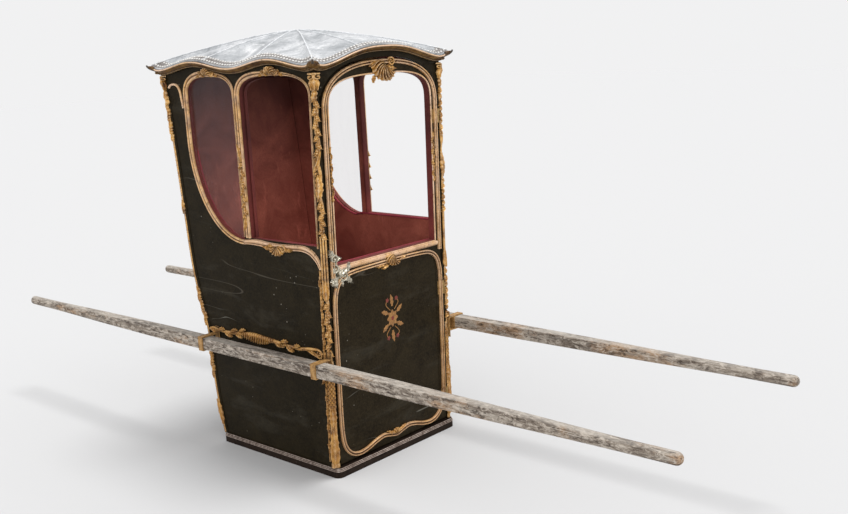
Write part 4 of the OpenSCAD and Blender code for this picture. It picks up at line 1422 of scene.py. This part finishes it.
def cornice_ring():
    """Places round the cornice's inner line, each with its side and its way out."""
    ways = [Vector(way) for way in ((0, -1), (1, 0), (0, 1), (-1, 0))]
    ring = []
    for side in range(4):
        for i in range(RING_N):
            x, y = plan_place(SIDE_IN, FRONT_IN, REAR_IN, side, i / RING_N)
            way = ways[side] if i else ways[side] + ways[side - 1]
            ring.append((side, x, y, way))
    return ring


def cornice_point(stop, out, up):
    side, x, y, way = stop
    x, y = x + way.x * out, y + way.y * out
    return Vector((x, y, low_at(side, x, y) + up))


def tube(build, points, radius, closed=False, sides=8):
    """A round bar along points in space."""
    n = len(points)
    rows = []
    normal = None
    for i in range(n):
        a = points[(i - 1) % n] if closed or i > 0 else points[i]
        b = points[(i + 1) % n] if closed or i < n - 1 else points[i]
        t = (Vector(b) - Vector(a)).normalized()
        if normal is None:
            normal = t.cross(Vector((0, 0, 1)))
            if normal.length < 0.1:
                normal = t.cross(Vector((1, 0, 0)))
        normal = (normal - t * normal.dot(t)).normalized()
        other = t.cross(normal)
        row = []
        for j in range(sides):
            c = 2 * math.pi * j / sides
            way = normal * math.cos(c) + other * math.sin(c)
            row.append(Vector(points[i]) + way * radius)
        rows.append(row)
    build.grid(rows, round_rows=closed, round_cols=True, caps=not closed)


def gilt_cornice():
    ring = cornice_ring()
    build, lip = Build(), Build()
    rows = [
        [cornice_point(stop, out * REACH, up * CORNICE_T) for out, up in CORNICE]
        for stop in ring
    ]
    build.grid(rows, round_rows=True, round_cols=True)
    tube(lip, [cornice_point(s, REACH * 0.98, CORNICE_T * 0.97) for s in ring], 2.4 * MM, True)
    tube(build, [cornice_point(s, REACH * 0.4, CORNICE_T * 0.36) for s in ring], 1.5 * MM, True)
    obj = piece("cornice_moulding", build, CORNICE_GILT, "roof")
    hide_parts("cornice")
    piece("cornice_lip", lip, GILT_PALE, "roof")


def cap_leaf(build, place):
    """A ribbed cap that wraps a corner: v is up from the cornice's foot."""
    spine = catmull([
        (8 * MM, -12 * MM), (11 * MM, -5 * MM), (14 * MM, 3 * MM), (18 * MM, 11 * MM),
        (23 * MM, 17 * MM), (28 * MM, 19.5 * MM), (31.5 * MM, 17 * MM), (32 * MM, 8 * MM),
        (31 * MM, -2 * MM),
    ], 4)
    n, m = len(spine), 44
    rows = []
    for i, (z, w) in enumerate(spine):
        s = i / (n - 1)
        half = 27 * MM * (1 - 0.5 * s * s) * min(1, 0.6 + 2 * s)
        row = []
        for j in range(m + 1):
            t = 2 * j / m - 1
            rib = 1.3 * MM * math.cos(7 * math.pi * t) * (1 - s * 0.5)
            drop = 6 * MM * abs(t) ** 3
            back = half * abs(t) - 3 * MM * (1 - t * t)
            row.append(place(half * t, z - drop, w + rib - back))
        rows.append(row)
    build.grid(rows)


def corner_caps():
    """The leafy cap and the upturned tip at each corner of the cornice."""
    build, tips = Build(), Build()
    for sx in (-1, 1):
        for front in (True, False):
            y = CORNICE_LOW.y if front else CORNICE_HIGH.y
            sy = -1 if front else 1
            at = Vector((sx * CORNICE_HIGH.x, y, EAVE + CORNER_RISE))
            out = Vector((sx, sy, 0)).normalized()
            across = Vector((-out.y, out.x, 0))

            def place(u, v, w, at=at, out=out, across=across):
                return at + across * u + Vector((0, 0, v)) + out * (w - 13 * MM)

            def wrapped(u, v, w, place=place):
                return place(u, v, w + 3 * MM - abs(u))

            cap_leaf(build, place)
            for s in (-1, 1):
                scroll(build, wrapped, (s * 24 * MM, 3 * MM), UP, 6 * MM, 1.1, 4 * MM,
                       7 * MM, s)
            horn = [place(0, z, w) for z, w in
                    ((24 * MM, 14 * MM), (27 * MM, 19 * MM), (30 * MM, 22.5 * MM),
                     (33.5 * MM, 24.5 * MM), (36 * MM, 24.5 * MM))]
            taper(tips, horn, 5.5 * MM, 2.6 * MM)
    piece("cornice_corner_caps", build, CAP, "roof")
    piece("cornice_corner_tips", tips, DARK_TIP, "roof")


def taper(build, points, start, end):
    """A round bar that narrows to a blunt tip."""
    n, sides = len(points), 10
    rows = []
    for i in range(n):
        a, b = Vector(points[max(i - 1, 0)]), Vector(points[min(i + 1, n - 1)])
        t = (b - a).normalized()
        normal = t.cross(Vector((1, 0.3, 0.2))).normalized()
        other = t.cross(normal)
        r = start + (end - start) * i / (n - 1)
        rows.append([
            Vector(points[i]) + (normal * math.cos(c) + other * math.sin(c)) * r
            for c in (2 * math.pi * j / sides for j in range(sides))
        ])
    build.grid(rows, round_cols=True, caps=True)


LEATHER_T = 37 * MM
ROOF_X, ROOF_Y0, ROOF_Y1 = DOME_HIGH.x, DOME_LOW.y, DOME_HIGH.y
EDGE_N = 60


WELTS = [side + t for side in range(4) for t in (0, 0.34, 0.67)]
DOME_FULLNESS = 1.5


def roof_edge(k):
    """The roof's edge at k, from 0 to 4 round from the front left corner."""
    side = int(k) % 4
    x, y = plan_place(ROOF_X, ROOF_Y0, ROOF_Y1, side, k - int(k))
    return x, y, low_at(side, x, y)


def reach_at(side, k):
    """How far a side of the roof's edge lies from the apex at k."""
    x, y, _ = roof_edge(k)
    return abs(x) if side % 2 else abs(y - APEX_Y)


def dome_point(k, r, rise=0.0):
    """The leather at a share r of the way from the apex to the edge at k."""
    x, y, low = roof_edge(k % 4)
    z0 = low + LEATHER_T
    z = z0 + (DOME_HIGH.z - z0) * (1 - r**DOME_FULLNESS)
    near = max((w for w in WELTS if w <= k % 4), default=0)
    after = min((w for w in WELTS if w > k % 4), default=4)
    part = (k % 4 - near) / (after - near)
    sag = 5 * MM * math.sin(math.pi * part) ** 1.2 * math.sin(math.pi * min(1, r)) ** 0.8
    ripple = 1.2 * MM * math.sin(9 * k + 6 * r) * math.sin(math.pi * r)
    return Vector((x * r, APEX_Y + (y - APEX_Y) * r, z - sag + ripple + rise))


def dome_normal(k, r):
    a = dome_point(k + 0.01, r) - dome_point(k - 0.01, r)
    b = dome_point(k, r + 0.01) - dome_point(k, r - 0.01)
    n = b.cross(a).normalized()
    return n if n.z > 0 else -n


def leather_dome():
    build = Build()
    n = 34
    ks = [i / EDGE_N for i in range(4 * EDGE_N)]
    edge = ((0.97, 8.6), (0.995, 8.6), (1.0, 6.5), (1.0, 2.5), (0.997, 0))
    rings = [*edge, *((1 - i / n, 0) for i in range(1, n)), *((t / n, 0) for t in (0.6, 0.3, 0.1))]
    rows = [[dome_point(k, r, -drop * MM) for k in ks] for r, drop in rings]
    build.grid(rows, round_cols=True)
    build.add(rows[-1], [tuple(range(len(ks)))])
    obj = piece("roof_leather", build, LEATHER, "roof", 60)
    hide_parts("roof_dome")


def leather_welts():
    """Raised seams from the apex to the edge."""
    build = Build()
    for k in WELTS:
        line = []
        for i in range(31):
            r = 0.03 + 0.955 * i / 30
            line.append(dome_point(k, r) + dome_normal(k + 1e-4, r) * 0.8 * MM)
        tube(build, line, 2.6 * MM, sides=8)
    piece("roof_welts", build, WELT, "roof")


def leather_binding():
    """The darker strip that the nails hold down round the roof's edge."""
    build = Build()
    rows = []
    for inset, lift in ((1.5, 0.4), (3, 1.1), (12, 1.2), (22, 1.2), (32, 1.1), (34, 0.3)):
        row = []
        for i in range(4 * EDGE_N):
            k = i / EDGE_N
            row.append(dome_point(k, 1 - inset * MM / reach_at(int(k), k), lift * MM))
        rows.append(row)
    build.grid(rows, round_cols=True)
    piece("roof_binding", build, BINDING, "roof", 60)


def leather_nails():
    """Two rows of round heads round the roof's edge."""
    build = Build()
    pitch = 16 * MM
    for inset, shift in ((9 * MM, 0.5), (28 * MM, 1)):
        for side in range(4):
            length = ROOF_Y1 - ROOF_Y0 if side % 2 else 2 * ROOF_X
            count = int(length / pitch)
            for i in range(count):
                k = side + (i + shift) / count
                r = 1 - inset / reach_at(side, k)
                at = dome_point(k, r)
                n = dome_normal(k, r)
                u = n.cross(Vector((0, 1, 0))).normalized()
                v = n.cross(u)

                def place(a, b, w, at=at, n=n, u=u, v=v):
                    return at + u * a + v * b + n * w

                beads(build, place, [(0, 0)], 5.8 * MM, 5 * MM, -0.4 * MM)
    piece("roof_nails", build, NAIL, "roof", 70)


# Poles, straps and slab


def pole_mesh(side):
    """A pole: square in its middle, round at its ends, with the marks of use."""
    rng = random.Random(7 if side == "left" else 8)
    s = SIDES[side]
    half, round_r = POLE_SIDE / 2, 21 * MM
    y0, y1 = POLE_LOW.y, POLE_HIGH.y
    square0, square1 = -690 * MM, 630 * MM
    grip, tip = 172 * MM, 18 * MM
    waves = [(rng.uniform(3, 9), rng.uniform(0, 6), rng.uniform(0, 6)) for _ in range(4)]
    n, m = 190, 64
    rows = []
    stops = [y0, y0 + 1.5 * MM, y0 + 5 * MM, y0 + 11 * MM]
    stops += [y0 + tip + (y1 - y0 - 2 * tip) * i / n for i in range(n + 1)]
    stops += [y1 - 11 * MM, y1 - 5 * MM, y1 - 1.5 * MM, y1]
    for y in stops:
        if y < square0:
            t = min(1, (square0 - y) / (square0 - y0 - grip))
        elif y > square1:
            t = min(1, (y - square1) / (y1 - grip - square1))
        else:
            t = 0
        power = 14 * (1 - t) ** 2 + 2
        size = half + (round_r - half) * t
        end = min(y - y0, y1 - y)
        if end < tip:
            size *= 0.35 + 0.65 * math.sin(math.pi / 2 * (end / tip)) ** 0.55
        row = []
        for j in range(m):
            a = 2 * math.pi * j / m
            c, d = math.cos(a), math.sin(a)
            k = (abs(c) ** power + abs(d) ** power) ** (-1 / power)
            wear = sum(
                math.sin(f * y * 3 + p + 2 * a) * math.sin(g + 5 * a + y * f) for f, p, g in waves
            )
            r = size * k - 0.45 * MM * (1 + wear / 4)
            row.append(Vector((s * (POLE_X + r * c), y, POLE_Z + r * d)))
        rows.append(row)
    build = Build()
    build.grid(rows, round_cols=True, caps=True)
    obj = piece(f"pole_timber_{side}", build, POLE, f"pole_{side}", 50)
    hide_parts(f"pole_{side}")


def strap_lines(side):
    """The raised edges of the iron bands, and their round-headed screws."""
    s = SIDES[side]
    build = Build()
    for low, high in ((STRAP_F_LOW, STRAP_F_HIGH), (STRAP_R_LOW, STRAP_R_HIGH)):
        outer = POLE_SIDE / 2 + POLE_CLEAR + STRAP_T
        x1 = POLE_X + outer
        x0 = POLE_X - outer + 1 * MM
        for y in (low.y + 2.2 * MM, high.y - 2.2 * MM):
            z0, z1 = POLE_Z - outer, POLE_Z + outer
            loop = [(x0, z0), (x1, z0), (x1, z1), (x0, z1)]
            line = [Vector((s * x, y, z)) for x, z in spaced(loop, 6 * MM)]
            tube(build, line, 1.5 * MM, sides=6)
        for z in (POLE_Z - outer - 15 * MM, POLE_Z + outer + 15 * MM):
            y = (low.y + high.y) / 2

            def place(u, v, w, y=y, z=z, x=low.x):
                return Vector((s * (x + 6 * MM + w), y + u, z + v))

            boss(build, place, (0, 0), 7 * MM, 4 * MM)
    piece(f"strap_edges_{side}", build, STRAP, "cabin")


def slab_ledges():
    """The pale rubbed edges of the slab's steps."""
    build = Build()
    for drop, inset in ((0.0, 3.5 * MM), (5 * MM, 1.25 * MM), (10 * MM, 0.0)):
        x = SLAB_HIGH.x - inset
        y0, y1 = SLAB_LOW.y + inset, SLAB_HIGH.y - inset
        r = 25 * MM - inset
        line = []
        for cx, cy, start in ((x - r, y1 - r, 0), (r - x, y1 - r, 90), (r - x, y0 + r, 180),
                              (x - r, y0 + r, 270)):
            for i in range(9):
                a = math.radians(start + 90 * i / 8)
                line.append((cx + r * math.cos(a), cy + r * math.sin(a), FOOT_Z - drop - 0.6 * MM))
        line = [Vector(p) for p in spaced(line, 9 * MM, True)]
        tube(build, line, 1.5 * MM, True, 6)
    piece("slab_ledges", build, LEDGE, "cabin")


# Inside


def piping():
    """Crimson cord along the sills."""
    build = Build()
    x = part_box("side_lining_right")[0].x - 1.5 * MM
    line = [(FRONT_EDGE + 5 * MM, SILL - 3 * MM), (MULLION[1], SILL - 5 * MM)]
    line = spaced(line + rear_curve(8 * MM, 12)[1:-1], 10 * MM)
    for s in SIDES.values():
        points = [Vector((s * x, y, z)) for y, z in line]
        tube(build, points, 4.2 * MM)
    piece("sill_piping", build, PIPING, "cabin")
    door = Build()
    half, back = DOOR_WINDOW_HALF + 6 * MM, -34.5 * MM
    for drop, radius in ((2 * MM, 4 * MM), (13 * MM, 3.2 * MM)):
        line = [front_face(u / 40 * half, DOOR_SILL - drop, back) for u in range(-40, 41)]
        tube(door, line, radius)
    piece("door_sill_piping", door, PIPING, "door")


def inner_frames():
    """The red frames round the front windows' inner edges."""
    build = Build()
    line = spaced(offset(front_window(SILL), 3 * MM), 8 * MM)
    for s in SIDES.values():

        def place(u, v, w, s=s):
            return Vector((s * (WALL_IN + 1 * MM - w), u, v))

        sweep(build, place, line, BAR, 10 * MM, 16 * MM)
    piece("window_inner_frames", build, REVEAL, "cabin")


def pad_shape():
    """A box a little smaller than the seat's space, with bevelled edges."""
    low = CUSHION_LOW + Vector((9, 9, 1)) * MM
    high = CUSHION_HIGH - Vector((9, 9, 14)) * MM
    bm = bmesh.new()
    bmesh.ops.create_cube(bm, size=1)
    mid, size = (low + high) / 2, high - low
    for vert in bm.verts:
        vert.co = Vector((mid[i] + vert.co[i] * size[i] for i in range(3)))
    bmesh.ops.bevel(bm, geom=bm.edges[:], offset=9 * MM, segments=3, affect="EDGES", profile=0.5)
    mesh = bpy.data.meshes.new("seat_pad")
    bm.to_mesh(mesh)
    bm.free()
    return linked("seat_pad", mesh)


def applied(obj):
    """Bakes the object's modifiers into its mesh."""
    shape = obj.evaluated_get(bpy.context.evaluated_depsgraph_get())
    mesh = bpy.data.meshes.new_from_object(shape)
    obj.modifiers.clear()
    obj.data = mesh


def swollen(obj, frames=20, most=14 * MM):
    """Blows the pad up with cloth, and caps how far each point moves."""
    cloth = obj.modifiers.new("cloth", "CLOTH")
    cloth.settings.use_pressure = True
    cloth.settings.uniform_pressure_force = 4
    cloth.settings.effector_weights.gravity = 0
    cloth.settings.quality = 5
    scene = bpy.context.scene
    start = [v.co.copy() for v in obj.data.vertices]
    for frame_no in range(1, frames + 1):
        scene.frame_set(frame_no)
    applied(obj)
    scene.frame_set(1)
    for vert, old in zip(obj.data.vertices, start):
        move = vert.co - old
        if move.length > most:
            vert.co = old + move * (most / move.length)


def settled(obj):
    """Keeps the pad in its space: flat where it rests, crowned on top."""
    low, high = CUSHION_LOW + Vector((1, 1, 0.4)) * MM, CUSHION_HIGH - Vector((1, 1, 1)) * MM
    mid, half = (low + high) / 2, (high - low) / 2
    for vert in obj.data.vertices:
        p = vert.co
        a, b = (p.x - mid.x) / half.x, (p.y - mid.y) / half.y
        if p.z > mid.z:
            crown = (1 - a * a) * (1 - b * b)
            hollow = 7 * MM * math.exp(-((a / 0.45) ** 2 + ((b + 0.1) / 0.5) ** 2))
            p.z += 5 * MM * crown**0.5 - hollow if crown > 0 else 0
        for i in range(3):
            p[i] = min(max(p[i], low[i]), high[i])


def pad_piping(obj):
    """A cord sewn round the pad near its top and its foot."""
    tree = BVHTree.FromObject(obj, bpy.context.evaluated_depsgraph_get())
    low, high = CUSHION_LOW, CUSHION_HIGH
    mid, half = (low + high) / 2, (high - low) / 2
    build = Build()
    for z in (low.z + 13 * MM, high.z - 21 * MM):
        line = []
        for i in range(240):
            a = 2 * math.pi * i / 240
            c, s = math.cos(a), math.sin(a)
            k = (abs(c) ** 16 + abs(s) ** 16) ** (-1 / 16)
            start = Vector((mid.x + half.x * 1.2 * c * k, mid.y + half.y * 1.2 * s * k, z))
            way = Vector((mid.x - start.x, mid.y - start.y, 0)).normalized()
            hit = tree.ray_cast(start, way)[0]
            if hit:
                line.append(hit + way * 0.8 * MM)
        tube(build, [Vector(p) for p in spaced(line, 9 * MM, True)], 3.2 * MM, True)
    cord = piece("seat_pad_piping", build, PIPING, "cabin")
    for vert in cord.data.vertices:
        vert.co.x = min(max(vert.co.x, low.x + 0.3 * MM), high.x - 0.3 * MM)
        vert.co.y = min(max(vert.co.y, low.y + 0.3 * MM), high.y - 0.3 * MM)


def seat_pad():
    obj = pad_shape()
    remesh = obj.modifiers.new("remesh", "REMESH")
    remesh.mode = "VOXEL"
    remesh.voxel_size = 6 * MM
    applied(obj)
    swollen(obj)
    settled(obj)
    smooth = obj.modifiers.new("smooth", "SUBSURF")
    smooth.levels = smooth.render_levels = 1
    applied(obj)
    obj.data.shade_smooth()
    obj.data.materials.clear()
    obj.data.materials.append(CUSHION)
    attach(obj, "cabin")
    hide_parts("seat_cushion")
    pad_piping(obj)


door_trim()
door_medallion()
door_lock_mount()
for each in SIDES:
    side_trim(each)
    front_column(each)
    side_strip(each)
    rear_post_trim(each)
    pole_mesh(each)
    strap_lines(each)
back_trim()
gilt_cornice()
corner_caps()
leather_dome()
leather_welts()
leather_binding()
leather_nails()
inner_frames()
seat_pad()
slab_ledges()
piping()


# Camera, floor and light

CAMERA_AT = (-2.9443, -3.2184, 1.6668)
CAMERA_RIGHT = Vector((0.66322, -0.74661, -0.05223))
CAMERA_UP = Vector((0.18781, 0.09847, 0.97728))
CAMERA_LENS = 45.13
SENSOR = 36
FLOOR_REACH = 30
FLOOR_BLUE = 1.004
LIGHTS = (("key", (1.0, -0.6, 5.0), 1.8, 20), ("fill", (-3.0, -3.4, 2.6), 0.5, 50))


def camera():
    """The camera, which sees the chair as the photograph does."""
    data = bpy.data.cameras.new("photo_camera")
    cam = linked("photo_camera", data)
    data.lens = CAMERA_LENS
    data.sensor_width = SENSOR
    data.clip_end = 100
    back = CAMERA_RIGHT.cross(CAMERA_UP)
    turn = Matrix((CAMERA_RIGHT, CAMERA_UP, back)).transposed().to_4x4()
    cam.matrix_world = Matrix.Translation(CAMERA_AT) @ turn
    bpy.context.scene.camera = cam


def studio():
    """The lights, and a floor and backdrop that look alike where no shadow falls."""
    lit = sum(power * Vector(at).normalized().z / math.pi for _, at, power, _ in LIGHTS)
    shade = PALE[1] / (PALE[1] + lit)
    r = FLOOR_REACH
    corners = [(-r, -r, 0), (r, -r, 0), (r, r, 0), (-r, r, 0)]
    mesh = bpy.data.meshes.new("studio_floor")
    mesh.from_pydata(corners, [], [(0, 1, 2, 3)])
    mat, _, bsdf = new_material("floor_paper", 0.9)
    bsdf.inputs["Base Color"].default_value = (shade, shade, shade * FLOOR_BLUE, 1)
    bsdf.inputs["Specular IOR Level"].default_value = 0.0
    mesh.materials.append(mat)
    linked("studio_floor", mesh)
    world = bpy.data.worlds.new("studio")
    world.use_nodes = True
    backdrop = world.node_tree.nodes["Background"]
    backdrop.inputs["Color"].default_value = PALE
    backdrop.inputs["Strength"].default_value = 1.0
    bpy.context.scene.world = world
    for name, at, power, spread in LIGHTS:
        data = bpy.data.lights.new(name, "SUN")
        data.energy = power
        data.angle = math.radians(spread)
        lamp = linked(name, data)
        lamp.location = at
        lamp.rotation_euler = (-Vector(at)).to_track_quat("-Z", "Y").to_euler()
    bpy.context.scene.view_settings.view_transform = "Standard"


camera()
studio()
